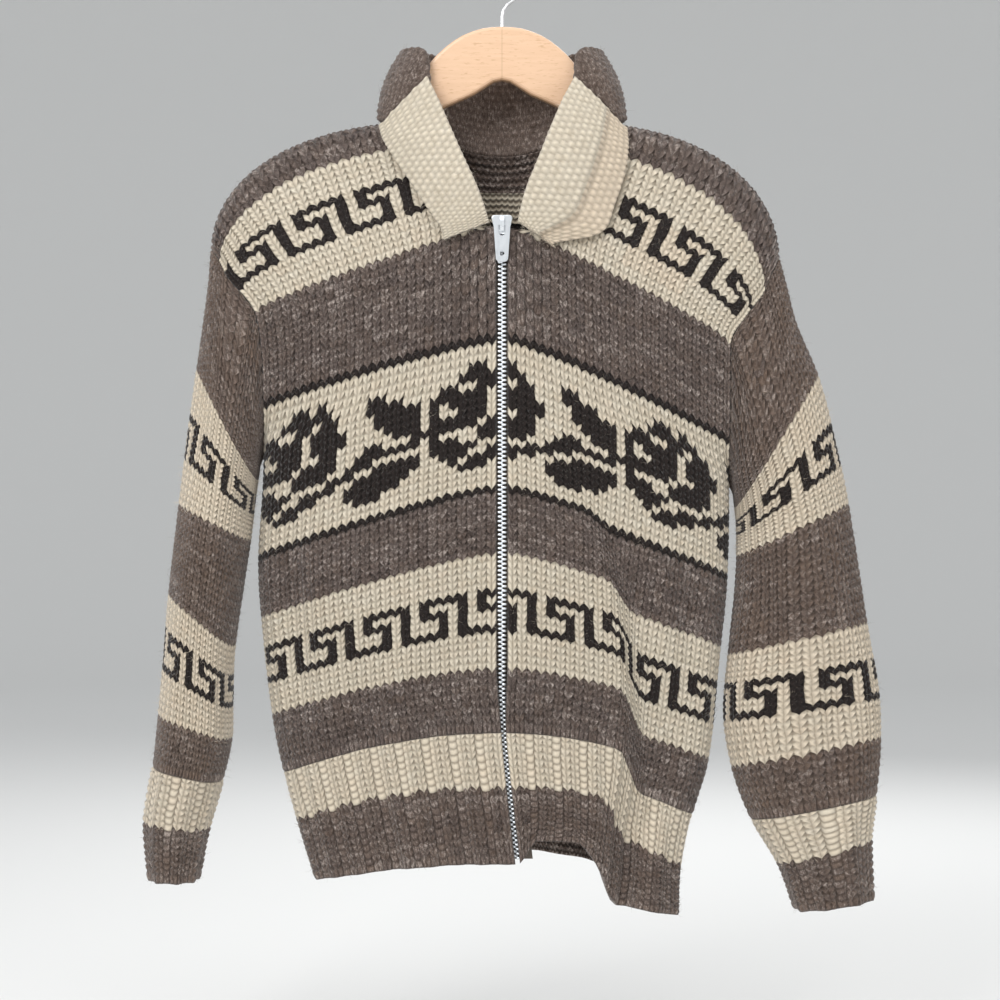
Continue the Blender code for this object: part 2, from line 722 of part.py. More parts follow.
def outline_piece(name, loops, depth, look, group, bevel=0.0, bevel_steps=1):
    """A flat outline in X and Z with holes, extruded along Y about the middle plane."""
    curve = bpy.data.curves.new(name, "CURVE")
    curve.dimensions = "2D"
    curve.fill_mode = "BOTH"
    curve.extrude = (depth / 2 - bevel) * MM
    curve.bevel_depth = bevel * MM
    curve.bevel_resolution = bevel_steps
    curve.offset = -bevel * MM
    for loop in loops:
        spline = curve.splines.new("POLY")
        spline.points.add(len(loop) - 1)
        for target, (x, z) in zip(spline.points, loop):
            target.co = (x * MM, z * MM, 0.0, 1.0)
        spline.use_cyclic_u = True
    holder = bpy.data.objects.new(name + "_outline", curve)
    holder.rotation_euler = (pi / 2, 0.0, 0.0)
    group.objects.link(holder)
    bpy.context.view_layer.update()
    graph = bpy.context.evaluated_depsgraph_get()
    data = bpy.data.meshes.new_from_object(holder.evaluated_get(graph))
    data.transform(holder.matrix_world)
    bpy.data.objects.remove(holder, do_unlink=True)
    mesh = bmesh.new()
    mesh.from_mesh(data)
    bmesh.ops.remove_doubles(mesh, verts=mesh.verts, dist=0.00001)
    bmesh.ops.triangulate(mesh, faces=mesh.faces)
    bmesh.ops.recalc_face_normals(mesh, faces=mesh.faces)
    mesh.to_mesh(data)
    mesh.free()
    data.materials.clear()
    return place_piece(name, data, look, group)


def arc(centre_x, centre_z, radius, start, end, steps):
    """Points on a circle between two angles in degrees."""
    angles = [radians(start + (end - start) * i / steps) for i in range(steps + 1)]
    return [(centre_x + radius * cos(a), centre_z + radius * sin(a)) for a in angles]


def box_piece(name, low, high, look, group):
    """A rectangular block between two corners, given in mm."""
    mesh = bmesh.new()
    bmesh.ops.create_cube(mesh, size=1.0)
    low, high = np.array(low) * MM, np.array(high) * MM
    for vert in mesh.verts:
        vert.co = (low + high) / 2 + np.array(vert.co) * (high - low)
    data = bpy.data.meshes.new(name)
    mesh.to_mesh(data)
    mesh.free()
    return place_piece(name, data, look, group)


def move_mesh(piece, x=0.0, y=0.0, z=0.0):
    for vert in piece.data.vertices:
        vert.co.x += x * MM
        vert.co.y += y * MM
        vert.co.z += z * MM


def slider_plate_loop():
    top, foot = SLIDER_WIDTH / 2, SLIDER_FOOT_WIDTH / 2
    high, low = SLIDER_TOP_Z, SLIDER_TOP_Z - SLIDER_HEIGHT
    corner = 3.0
    return (arc(top - corner, high - corner, corner, 0, 90, 4)
            + arc(-top + corner, high - corner, corner, 90, 180, 4)
            + arc(-foot + 2, low + 2, 2, 180, 270, 3)
            + arc(foot - 2, low + 2, 2, 270, 360, 3))


def zip_face_y():
    return zip_line(ZIP_TOP_COURSE)[1]


def slider(group, cutters):
    """Front plate with its bail, a post between the tape ends, and the back plate, as one body."""
    face = zip_face_y() - SEAM - 0.5
    back = zip_face_y() + CHAIN_SET_BACK + CHAIN_DEPTH + SEAM + TAPE_DEPTH + SEAM
    plate = outline_piece("zip_slider", [slider_plate_loop()], PLATE_DEPTH, "zip_metal", group, 0.5)
    move_mesh(plate, y=face - PLATE_DEPTH / 2)
    rear_loop = [(x * 0.8, z - 0.2) for x, z in slider_plate_loop()]
    rear = outline_piece("slider_back_plate", [rear_loop], BACK_PLATE_DEPTH, "zip_metal", cutters)
    move_mesh(rear, y=back + BACK_PLATE_DEPTH / 2)
    half = POST_WIDTH / 2
    post_top = SLIDER_TOP_Z - 0.8
    post = box_piece("slider_post", (-half, face - 0.6, post_top - POST_HEIGHT),
                     (half, back + 0.6, post_top), "zip_metal", cutters)
    bail = bail_piece(face - PLATE_DEPTH, cutters)
    for other in (rear, post, bail):
        join = plate.modifiers.new("join " + other.name, "BOOLEAN")
        join.operation = "UNION"
        join.solver = "EXACT"
        join.object = other
        other.hide_render = True
        other.display_type = "WIRE"
    return plate


def bail_piece(plate_front, group):
    """The small arch on the slider's face that carries the tab."""
    reach = PIVOT_OFF_PLATE + BAIL_CLEARANCE
    span = BAIL_HALF_SPAN
    thick = BAIL_THICK

    def arch(grow, sink):
        ends = [(sink, span + grow), (-reach * 0.55 - grow * 0.5, span + grow),
                (-reach - grow, span * 0.5 + grow * 0.5), (-reach - grow, -span * 0.5 - grow * 0.5),
                (-reach * 0.55 - grow * 0.5, -span - grow), (sink, -span - grow)]
        return ends

    outer_line, inner_line = arch(thick, 0.6), arch(0.0, 0.6)
    rows = []
    for x in (-BAIL_WIDTH / 2, BAIL_WIDTH / 2):
        rows.append([np.array((x, plate_front + y, PIVOT_Z + z)) for y, z in outer_line])
    inner_rows = []
    for x in (-BAIL_WIDTH / 2, BAIL_WIDTH / 2):
        inner_rows.append([np.array((x, plate_front + y, PIVOT_Z + z)) for y, z in inner_line])
    return solid_from_grids("slider_bail", rows, inner_rows, "zip_metal", group)


def pull_tab(group):
    """The tab that hangs on the bail by the bar above its slot; its origin is the bar's middle."""
    top, foot = TAB_TOP_WIDTH / 2, TAB_FOOT_WIDTH / 2
    high, low = TAB_TOP_BAR, TAB_TOP_BAR - TAB_LENGTH
    outline = (arc(top - 2.2, high - 2.2, 2.2, 0, 90, 4)
               + arc(-top + 2.2, high - 2.2, 2.2, 90, 180, 4)
               + arc(-foot + 3.5, low + 3.5, 3.5, 180, 270, 4)
               + arc(foot - 3.5, low + 3.5, 3.5, 270, 360, 4))
    half = SLOT_WIDTH / 2
    slot_top = -TAB_TOP_BAR
    slot_foot = slot_top - SLOT_LENGTH
    slot = (arc(half - 0.8, slot_top - 0.8, 0.8, 0, 90, 2)
            + arc(-half + 0.8, slot_top - 0.8, 0.8, 90, 180, 2)
            + arc(0, slot_foot + half, half, 180, 360, 6))
    hole = arc(0, low + 7.5, TAB_HOLE / 2, 0, 330, 11)
    tab = outline_piece("zip_pull_tab", [outline, slot, hole], TAB_DEPTH, "zip_metal", group)
    tab.location = (0.0, pivot_y() * MM, PIVOT_Z * MM)
    return tab


def pivot_y():
    return zip_face_y() - SEAM - 0.5 - PLATE_DEPTH - PIVOT_OFF_PLATE


def shoulder_top(x):
    """Height of the shoulder seam at a distance sideways."""
    side = LEFT if x > 0 else RIGHT
    turn = turn_at(BACK, side, SHOULDER, abs(x))
    return body_point(FRONT, side, turn, SHOULDER)[2]


def board_top(x):
    """Top edge of the board under the shoulder's cloth."""
    slope = (shoulder_top(x + 4) - shoulder_top(x - 4)) / 8
    seat = CLOTH + WOOD_GAP + TIP_GAP * smoothstep((abs(x) - 150) / 50)
    return shoulder_top(x) - seat * hypot(1, slope)


def hanger_loop():
    """Outline of the hanger's board: top edge from right to left, then the underside."""
    hump = [(0, WOOD_PEAK_Z), (9, -65.3), (18, -66.5), (27, -69.2), (36, -73), (44, -77.8), (52, -84),
            (59, -90.4), (66, -98.4), (71, -106.5), (76, -116.5), (81, -127.5), (87, -140), (93, -150.5),
            (101, -161.5)]
    arm = [118, 134, 150, 166, 182, 196, 207]
    right_side = [(-x, z) for x, z in hump] + [(-x, board_top(-x)) for x in arm]
    left_side = hump + [(x, board_top(x)) for x in arm]
    under = [(205, 20), (190, 27), (165, 27), (140, 26)]
    foot = [(112, -180), (84, -158), (54, -139.7), (26, -127), (8, -115.5)]

    def lower(side):
        points = [(side * x, board_top(side * x) - deep) for x, deep in under]
        return points + [(side * x, z) for x, z in foot]

    top_line = right_side[::-1] + left_side[1:]
    loop = top_line + lower(1) + [(0, -113.6)] + lower(-1)[::-1]
    return loop[::-1]


def hook(group):
    """Bent wire: a stem up from the board and a hook over the rail."""
    wire = HOOK_WIRE / 2
    centre = HOOK_INNER + wire
    stem_foot = WOOD_PEAK_Z + SEAM
    bend = [(0.0, stem_foot), (0.0, -56.0), (1.0, -50.0), (5.0, -44.5)]
    circle = arc(0, -HOOK_INNER, centre, -50, 200, 22)
    line = bend + [(12.0, -39.0)] + circle[1:]
    curve = bpy.data.curves.new("hanger_hook", "CURVE")
    curve.dimensions = "3D"
    curve.bevel_depth = wire * MM
    curve.bevel_resolution = 2
    curve.use_fill_caps = True
    spline = curve.splines.new("POLY")
    spline.points.add(len(line) - 1)
    for target, (x, z) in zip(spline.points, line):
        target.co = (x * MM, 0.0, z * MM, 1.0)
    curve.materials.append(look_of("steel"))
    piece = bpy.data.objects.new("hanger_hook", curve)
    group.objects.link(piece)
    return piece


def main():
    clear_scene()
    group = new_collection("zip_cardigan")
    cutters = new_collection("joining_shapes")
    courses = PANEL_COURSES + ARMHOLE_COURSES[1:]
    panel("front_right", FRONT, (RIGHT,), courses, "grey_wool", group)
    panel("front_left", FRONT, (LEFT,), courses, "grey_wool", group)
    panel("back", BACK, (RIGHT, LEFT), courses, "grey_wool", group)
    hem_rib("hem_rib_right", FRONT, (RIGHT,), group)
    hem_rib("hem_rib_left", FRONT, (LEFT,), group)
    hem_rib("hem_rib_back", BACK, (RIGHT, LEFT), group)
    sleeve("sleeve_right", RIGHT, group)
    sleeve("sleeve_left", LEFT, group)
    cuff("cuff_right", RIGHT, group)
    cuff("cuff_left", LEFT, group)
    collar_wall("lapel_right", lapel_stations(RIGHT), "cream_wool", group, LAPEL_COLUMNS)
    collar_wall("lapel_left", lapel_stations(LEFT), "cream_wool", group, LAPEL_COLUMNS, LAPEL_RISE)
    collar_wall("collar_back", collar_stations(), "grey_wool", group, COLLAR_COLUMNS)
    half = CHAIN_WIDTH / 2
    zip_strip("zip_chain", "zip_metal", (-half, half), CHAIN_SET_BACK, CHAIN_DEPTH, CHAIN_TOP, group)
    behind = CHAIN_SET_BACK + CHAIN_DEPTH + SEAM
    right_tape, left_tape = (-TAPE_WIDTH, -SEAM / 2), (SEAM / 2, TAPE_WIDTH)
    zip_strip("zip_tape_right", "zip_tape", right_tape, behind, TAPE_DEPTH, TAPE_TOP, group)
    zip_strip("zip_tape_left", "zip_tape", left_tape, behind, TAPE_DEPTH, TAPE_TOP, group)
    slider(group, cutters)
    pull_tab(group)
    outline_piece("hanger_wood", [hanger_loop()], WOOD_DEPTH, "beech", group, WOOD_ROUND, WOOD_STEPS)
    hook(group)


main()
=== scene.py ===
"""Dresses the hand-knitted zip cardigan: stitches, ribs, bands, collar, zip, wool fuzz and hanger.

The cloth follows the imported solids: the same course and ring tables are written here again, in
millimetres, and every stitch is laid on the surface that they give. The wearer's right is at -X.
"""

from collections import namedtuple
from functools import cache
from math import asin, cos, exp, pi, sin, sqrt

import bpy
import numpy as np
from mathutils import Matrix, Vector


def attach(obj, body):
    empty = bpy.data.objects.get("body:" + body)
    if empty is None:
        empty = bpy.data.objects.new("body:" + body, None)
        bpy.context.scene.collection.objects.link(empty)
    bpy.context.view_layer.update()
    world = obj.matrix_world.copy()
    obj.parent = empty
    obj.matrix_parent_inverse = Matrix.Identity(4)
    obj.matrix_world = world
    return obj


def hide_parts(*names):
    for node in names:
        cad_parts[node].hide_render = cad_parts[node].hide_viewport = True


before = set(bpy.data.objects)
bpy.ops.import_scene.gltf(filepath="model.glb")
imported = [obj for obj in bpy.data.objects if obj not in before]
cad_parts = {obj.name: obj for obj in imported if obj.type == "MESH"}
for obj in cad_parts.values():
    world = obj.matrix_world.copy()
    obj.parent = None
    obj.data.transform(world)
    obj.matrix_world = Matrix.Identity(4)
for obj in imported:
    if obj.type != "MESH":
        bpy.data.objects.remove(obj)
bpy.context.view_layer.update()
bpy.ops.object.select_all(action="DESELECT")

# Lengths are in mm unless MM has been applied; courses count up from the hem, and down each sleeve.
MM = 0.001
FRONT, BACK, RIGHT, LEFT = -1, 1, -1, 1
SIDES = ((RIGHT, "right"), (LEFT, "left"))
CLOTH = 5.0
RIB_CLOTH = 4.2
RIB_RELIEF = 1.7
COLLAR_CLOTH = 7.0
RIB_TOP = 18
UNDERARM = 66
ROLL = 104
SHOULDER = 107
ROLL_DEPTH = 15.0
NECK_HALF_FRACTION = 0.42
NECK_SQUARENESS = 0.6
SECTION_POWER = 2.5
FRONT_WALES = 27
SLEEVE_WALES = 36
CUFF_WALES = 24
SLEEVE_END = 75
CUFF_END = 91
STITCH_RELIEF = 2.1


def named_rows(columns, *rows):
    """Rows of numbers with named columns; the first is where the row stands."""
    kind = namedtuple("Row", columns)
    return [kind(*row) for row in rows]


# The body's outer lines at some courses: how far out and how high the zip's and the sides' lines
# are, how deep front and back stand out, and how the course bends between zip and side.
COURSES = named_rows(
    "course zip_x zip_z right_z left_z right_x left_x front back armhole bow corner sag neck",
    (0, 14, -820, -839, -871, 170, 161, 48, 52, 0, 2.2, 0, 0, 0),
    (10, 6.5, -755, -787, -829, 186, 163, 46, 50, 0, 2.4, 0, 0, 0),
    (18, 1.5, -703, -742, -780, 198, 173, 47, 50, 0, 2.0, 0, 0, 0),
    (26, 0, -649, -692, -732, 208, 187, 49, 50, 0, 1.6, 0, 0, 0),
    (42, 0, -545, -604, -631, 218, 198, 50, 50, 0, 1.25, 0, 3, 0),
    (51, 0, -491, -554, -571, 221, 204, 49, 50, 0, 1.25, 0, 6, 0),
    (66, 0, -396, -456, -482, 216, 206, 45, 48, 0, 1.2, 0, 16, 0),
    (72, 0, -350, -409, -442, 216, 206, 42, 46, 18, 1.2, 0, 22, 0),
    (86, 0, -248, -329, -358, 222, 206, 38, 40, 25, 1.0, 0.1, 42, 1),
    (95, 0, -200, -297, -329, 246, 221, 26, 29, 21, 1.1, 0.4, 48, 9),
    (102, 0, -168, -281, -308, 255, 237, 18, 18, 16, 1.2, 0.7, 44, 19),
    (104, 0, -162, -277, -297, 257, 241, 15, 15, 14, 1.2, 0.9, 38, 24),
    (107, 0, -149, -268, -276, 264, 252, 15, 15, 14, 1.2, 1, 28, 36),
)
# The left front's slanting fold: where it runs, how far the cloth drops past it and how deep it is.
LEFT_FRONT_FOLD = named_rows(
    "course across drop trough",
    (0, 0.55, 34, 16),
    (10, 0.60, 34, 16),
    (18, 0.66, 36, 14),
    (26, 0.625, 38, 12),
    (42, 0.54, 24, 8),
    (51, 0.43, 12, 4),
    (60, 0.38, 0, 0),
    (107, 0.38, 0, 0),
)
FOLD_WIDTH = 0.13
HEM_LIFT = 21.0
HEM_LIFT_COURSES = 12
CREASES = named_rows(
    "face side across first last width depth",
    (FRONT, RIGHT, 0.30, 0, 34, 0.10, 5),
    (FRONT, RIGHT, 0.62, 0, 40, 0.09, 6),
    (FRONT, RIGHT, 0.86, 20, 64, 0.06, 6),
    (FRONT, LEFT, 0.84, 20, 60, 0.07, 6),
    (BACK, RIGHT, 0.22, 0, 44, 0.09, 7),
    (BACK, RIGHT, 0.68, 0, 70, 0.10, 9),
    (BACK, LEFT, 0.30, 0, 52, 0.10, 9),
    (BACK, LEFT, 0.74, 0, 76, 0.09, 8),
)
# Rings round each sleeve: its outer and inner points, half its depth, and how far it stands forward.
RING = "course outer_x outer_z inner_x inner_z depth forward"
SLEEVES = {
    RIGHT: named_rows(
        RING,
        (0, -264, -268, -216, -456, 26, 0),
        (5, -266, -297, -219, -460, 32, 0),
        (10, -270, -329, -221, -466, 36, 0),
        (18, -277, -379, -223, -478, 42, 1),
        (27, -285, -439, -226, -500, 48, 3),
        (36, -292.5, -501, -230, -534, 52, 5),
        (51, -301.5, -581, -244, -630, 54, 6),
        (60, -306, -636, -246, -676, 54, 6),
        (68, -311, -691, -247, -714, 52, 6),
        (75, -316, -736, -255, -750, 47, 5),
        (83, -324, -790, -268, -796, 33, 3),
        (91, -320, -840, -277, -841, 28, 2),
    ),
    LEFT: named_rows(
        RING,
        (0, 252, -276, 206, -482, 26, 0),
        (5, 259, -303, 209, -486, 29, 0),
        (10, 267, -334, 211, -491, 31, 0),
        (18, 288, -385, 212.5, -503, 32, 1),
        (27, 304, -448, 214, -521, 32, 2),
        (36, 315, -502, 214, -548, 32, 3),
        (51, 332, -610, 206, -638, 31, 4),
        (60, 342, -666, 202, -686, 31, 4),
        (68, 344, -713, 210, -740, 31, 4),
        (75, 340, -763, 227, -785, 31, 3),
        (83, 335, -806, 252, -827, 29, 2),
        (91, 337, -858, 267, -868, 27, 1),
    ),
}
ARMHOLE_COURSES = (66, 69, 72, 79, 86, 88, 95, 102, 104, 105.3, 106.2, 107)
ARMHOLE_FADE = 16
# Hollows in the sleeves, in degrees round the ring; each leans as it runs down.
SLEEVE_FOLDS = named_rows(
    "side angle lean first last width depth",
    (RIGHT, 95, -0.2, 40, 80, 24, 9),
    (RIGHT, 60, 1.4, 12, 34, 20, 6),
    (RIGHT, 255, 0.6, 30, 70, 26, 8),
    (LEFT, 118, -1.2, 34, 62, 18, 6),
    (LEFT, 70, 1.0, 52, 78, 18, 6),
    (LEFT, 250, -0.8, 24, 64, 24, 7),
)
NECK_EDGE_TOP = 111.0
NECK_EDGE_FOOT = 48.0
NECK_FOOT_COURSE = 88
NECK_BORDER = 7.0
BORDER_FOOT = 87
MOSS_FOOT = 72
MOSS_WALES = 4
# A browner patch on the left front.
WARM_COURSES, WARM_WALES = range(88, 96), range(13, 20)
ZIP_TOP_COURSE = 86
ZIP_STRAIGHT = 79
ZIP_GAP = 5.0
ZIP_GAP_CLOSED = 2.0
# Places along each lapel: its free edge, how far its base laps onto the front, and its crown.
LAPEL_ROW = "course free_x free_y free_z lap crown"
LAPELS = {
    RIGHT: named_rows(
        LAPEL_ROW,
        (88, -14, -46, -236, 7, 3),
        (91, -22, -46, -214, 8, 4),
        (96, -34, -43, -188, 8, 5),
        (100.5, -46, -37, -160, 8, 6),
        (103.6, -56, -30, -136, 8, 6),
        (105, -67, -21, -112, 7, 5),
    ),
    LEFT: named_rows(
        LAPEL_ROW,
        (86.6, 14, -46, -243, 30, 2),
        (91, 20, -46, -218, 31, 4),
        (96, 31, -43, -190, 28, 5),
        (100.5, 42, -37, -162, 22, 6),
        (103.6, 53, -30, -136, 15, 6),
        (105, 65, -21, -113, 9, 5),
    ),
}
LAPEL_RISE = {RIGHT: 0.0, LEFT: 5.0}
LAPEL_CELLS = {RIGHT: 8, LEFT: 11}
LAPEL_BORDER = {RIGHT: 0.0, LEFT: 0.38}
BORDER_WARMTH = 0.7
BAND_RELIEF = 2.0
CELL_STEPS = 4
LAPEL_FOOT = {RIGHT: np.array((3.0, 0.6, -11.0)), LEFT: np.array((0.0, 1.0, -4.0))}
# The collar from the lapel's top to the middle of the back, for the side at +X.
COLLAR_ENDS = named_rows(
    "base_x base_y base_z free_x free_y free_z crown",
    (107, -18, -152, 66, -18.5, -114, 2),
    (113, -9, -151, 71, -15, -87, 6),
    (113, 2, -150.5, 87, -4, -84, 9),
)
COLLAR_BACK = named_rows(
    "base_x free_x free_y free_z crown",
    (105, 92, 13, -84, 9),
    (94, 84, 27, -83, 8),
    (80, 71, 39, -82, 8),
    (62, 54, 45, -85, 8),
    (42, 36, 50, -88, 8),
    (21, 18, 52, -91, 8),
    (0, 0, 53, -92, 8),
)
COLLAR_STAND = (1.0, 0.8)
COLLAR_TUCK = 4.0
CHAIN_DEPTH = 3.0
CHAIN_SET_BACK = 2.0
CHAIN_SET_BACK_CLOSED = 5.4
CHAIN_TOP = 85.7
TAPE_TOP = 84.0
TAPE_WIDTH = 14.0
TAPE_DEPTH = 1.2
TAPE_LEAN = 0.07
TOOTH_PITCH = 4.0
TOOTH = (5.0, 2.6, 2.5)
TOOTH_ROUNDING = 0.7
TOOTH_SQUASH = np.array((1.0, 1.0, 0.92))
TOOTH_REACH = 1.75
TOOTH_DEPTH = CHAIN_DEPTH / 2 - 0.1
SEAM = 0.3

# One repeat of the running key, top row first. X is a stitch in dark wool.
KEY = (
    "XXXXX.",
    "X...X.",
    "XXX.X.",
    "..X.X.",
    "..X.X.",
    "XXX.XX",
)
# One repeat of the rose band, top row first: a rose, a leaf over its stem and a leaf below.
ROSE = (
    "....XX.X............",
    "...XXXXXX....XX.....",
    ".XX..XX.XX...XXXX...",
    "XXXXXX.XXX....XXXXX.",
    "X.XXXX.XXXX...XXXXX.",
    "X..XXX.XXXX....XXXX.",
    "XXXXXX..XX......XXX.",
    "XXXXX.XXXX...XX...XX",
    "X....XXXXX..XXXXXXX.",
    "XXX..XXXX..XXX......",
    "XXXXX....XXX..XXXXX.",
    ".XXX..XXXX..XXXXXXX.",
    "..X.XXXX...XXXXXXX..",
    "...XXX.....XXXXXX...",
    "............XXX.....",
    "....................",
)
DARK, GREY, CREAM = 0.0, 0.4, 1.0
# Bands of wool, each up to its end course, with a chart that stands on its foot course.
Band = namedtuple("Band", "end wool chart foot shift", defaults=((), 0, 0))
BODY_BANDS = (
    Band(10, GREY),
    Band(18, CREAM),
    Band(26, GREY),
    Band(42, CREAM, KEY, 31, 2),
    Band(51, GREY),
    Band(52, DARK),
    Band(71, CREAM, ROSE, 53, 7),
    Band(72, DARK),
    Band(86, GREY),
    Band(102, CREAM, KEY, 91, 1),
    Band(SHOULDER, GREY),
)
# The sleeve's courses count down from the armhole, so its charts run the other way.
SLEEVE_BANDS = (
    Band(18, GREY),
    Band(36, CREAM, KEY[::-1], 24, 0),
    Band(51, GREY),
    Band(68, CREAM, KEY[::-1], 56, 2),
    Band(SLEEVE_END, GREY),
    Band(83, CREAM),
    Band(CUFF_END, GREY),
)


def smoothstep(value):
    value = min(1.0, max(0.0, value))
    return value * value * (3 - 2 * value)


def bump(value):
    return (1 - value * value) ** 2 if abs(value) < 1 else 0.0


def unit(vector):
    return vector / max(np.linalg.norm(vector), 1e-12)


def units(vectors):
    return vectors / np.maximum(np.linalg.norm(vectors, axis=-1, keepdims=True), 1e-12)


def lengths_along(points):
    """How far along a line each of its points lies."""
    return np.concatenate([[0], np.cumsum(np.linalg.norm(np.diff(points, axis=0), axis=1))])


def read(table, at, name):
    """Value of a column between the rows of a table, on a smooth curve through them."""
    xs = [row[0] for row in table]
    ys = [getattr(row, name) for row in table]
    if at <= xs[0]:
        return ys[0]
    if at >= xs[-1]:
        return ys[-1]
    low = max(i for i, x in enumerate(xs) if x <= at)
    high = low + 1
    span = xs[high] - xs[low]

    def slope(i):
        before, after = max(i - 1, 0), min(i + 1, len(xs) - 1)
        steady = (ys[after] - ys[i]) * (ys[i] - ys[before]) > 0 or i in (0, len(xs) - 1)
        return (ys[after] - ys[before]) / (xs[after] - xs[before]) if steady else 0.0

    f = (at - xs[low]) / span
    return (ys[low] * (1 + 2 * f) * (1 - f) ** 2 + ys[high] * f * f * (3 - 2 * f)
            + slope(low) * span * f * (1 - f) ** 2 - slope(high) * span * f * f * (1 - f))


def read_row(table, at):
    return [read(table, at, name) for name in table[0]._fields[1:]]


def course_value(course, name, roll_share):
    if course <= ROLL:
        return read(COURSES, course, name)
    low = read(COURSES, ROLL, name)
    top = read(COURSES, SHOULDER, name)
    return top + (low - top) * roll_share


def body_point(face, side, turn, course):
    """Outer point of the body in mm; turn runs from 0 at the zip to a quarter turn at the side."""
    across = sin(turn)
    neckness = bump(across / NECK_HALF_FRACTION) if face == BACK else 0.0
    roll_angle = min(1.0, (SHOULDER - course) / (SHOULDER - ROLL)) * pi / 2
    share = (1 - cos(roll_angle)) * (1 - neckness) + neckness * roll_angle / (pi / 2)

    def value(name):
        return course_value(course, name, share)

    side_name = "left" if side == LEFT else "right"
    zip_x, zip_z = value("zip_x"), value("zip_z")
    x = zip_x + (side * value(side_name + "_x") - zip_x) * across
    drop = zip_z - value(side_name + "_z")
    corner = value("corner")
    bend = (1 - corner) * across ** value("bow") + corner * (1 - sqrt(max(0.0, 1 - across ** 3)))
    z = zip_z - drop * bend
    depth = value("front" if face == FRONT else "back")
    armhole = 0.0 if course <= UNDERARM else value("armhole")
    power = 0.4 + 0.4 * min(1.0, armhole / 15)
    y = armhole + (depth - armhole) * max(0.0, 1 - across ** SECTION_POWER) ** power
    y *= sin(roll_angle)
    if face == BACK:
        width = min(1.0, NECK_HALF_FRACTION + (SHOULDER - course) * 0.02)
        z -= value("sag") * bump(across / width)
        if course > ROLL:
            y = y * (1 - neckness) + neckness * ROLL_DEPTH * min(1.0, y / ROLL_DEPTH)
        y += value("neck") * max(0.0, 1 - (across / NECK_HALF_FRACTION) ** 2) ** NECK_SQUARENESS
    if face == FRONT and side == LEFT and course < 60:
        fold_at, fold_drop, trough = read_row(LEFT_FRONT_FOLD, course)
        z += fold_drop * bend
        z -= fold_drop * smoothstep((across - fold_at) / FOLD_WIDTH + 0.5)
        lift = HEM_LIFT * max(0.0, 1 - course / HEM_LIFT_COURSES) ** 1.5
        z += lift * smoothstep(across / 0.12) * (1 - smoothstep((across - 0.36) / 0.16))
        y -= trough * bump((across - fold_at - 0.1) / 0.16)
    for crease in CREASES:
        if (crease.face, crease.side) == (face, side) and crease.first <= course <= crease.last:
            fade = (crease.last - course) / (crease.last - crease.first)
            fade = smoothstep(2 * fade) * (smoothstep(4 * (1 - fade)) if crease.first else 1.0)
            y -= crease.depth * fade * bump((across - crease.across) / (1.6 * crease.width))
    return np.array((x, face * max(y, SEAM / 2), z))


def front_edge(course):
    """Distance of a front's inner edge from the middle: the zip edge, then the neck edge."""
    if course <= ZIP_TOP_COURSE:
        return ZIP_GAP_CLOSED + (ZIP_GAP - ZIP_GAP_CLOSED) * smoothstep((course - 18) / 10)
    if course <= NECK_FOOT_COURSE:
        share = (course - ZIP_TOP_COURSE) / (NECK_FOOT_COURSE - ZIP_TOP_COURSE)
        return ZIP_GAP + (NECK_EDGE_FOOT - ZIP_GAP) * share
    share = (course - NECK_FOOT_COURSE) / (SHOULDER - NECK_FOOT_COURSE)
    return NECK_EDGE_FOOT + (NECK_EDGE_TOP - NECK_EDGE_FOOT) * share


def turn_at(face, side, course, distance):
    start = body_point(face, side, 0.0, course)[0]
    end = body_point(face, side, pi / 2, course)[0]
    return asin(min(1.0, distance / abs(end - start)))


def even_turns(face, side, course, first_turn, columns):
    """Turns from first_turn to the side, an equal length of cloth apart."""
    fine = np.linspace(first_turn, pi / 2, 49)
    points = np.array([body_point(face, side, turn, course) for turn in fine])
    length = lengths_along(points)
    return np.interp(np.linspace(0, length[-1], columns + 1), length, fine)


def front_base(side, courses):
    """Stitch corners of one front; above the zip the neck edge cuts the wales off."""
    rows = []
    for course in courses:
        gap = front_edge(min(course, ZIP_TOP_COURSE))
        turns = even_turns(FRONT, side, course, turn_at(FRONT, side, course, gap), FRONT_WALES)
        if course > ZIP_TOP_COURSE:
            cut = turn_at(FRONT, side, course, front_edge(course))
            turns = np.maximum(turns, cut + 0.0006 * np.arange(len(turns)))
        rows.append([body_point(FRONT, side, turn, course) for turn in turns])
    return np.array(rows)


def back_base(courses):
    rows = []
    for course in courses:
        row = []
        for side in (RIGHT, LEFT):
            turns = even_turns(BACK, side, course, 0.0, FRONT_WALES)
            strip = [body_point(BACK, side, turn, course) for turn in turns]
            row += strip[::-1] if side == RIGHT else strip[1:]
        rows.append(row)
    return np.array(rows)


def sleeve_fold_depth(side, course, angle):
    total = 0.0
    for fold in SLEEVE_FOLDS:
        if fold.side == side and fold.first < course < fold.last:
            share = (course - fold.first) / (fold.last - fold.first)
            centre = fold.angle + fold.lean * (course - (fold.first + fold.last) / 2)
            away = (np.degrees(angle) - centre + 180) % 360 - 180
            total += fold.depth * sin(pi * share) ** 0.8 * exp(-(away / fold.width) ** 2)
    return total


def sleeve_ring(side, course, angles):
    outer_x, outer_z, inner_x, inner_z, depth, forward = read_row(SLEEVES[side], course)
    outer, inner = np.array((outer_x, 0.0, outer_z)), np.array((inner_x, 0.0, inner_z))
    middle, reach = (outer + inner) / 2, (outer - inner) / 2
    points = []
    for angle in angles:
        c, s = cos(angle), sin(angle)
        c = abs(c) ** 0.9 * (1 if c > 0 else -1)
        s = abs(s) ** 0.9 * (1 if s > 0 else -1)
        inward = sleeve_fold_depth(side, course, angle)
        point = middle + reach * c + np.array((0.0, -depth * s - forward * abs(s), 0.0))
        points.append(point - unit(point - middle) * inward)
    return np.array(points)


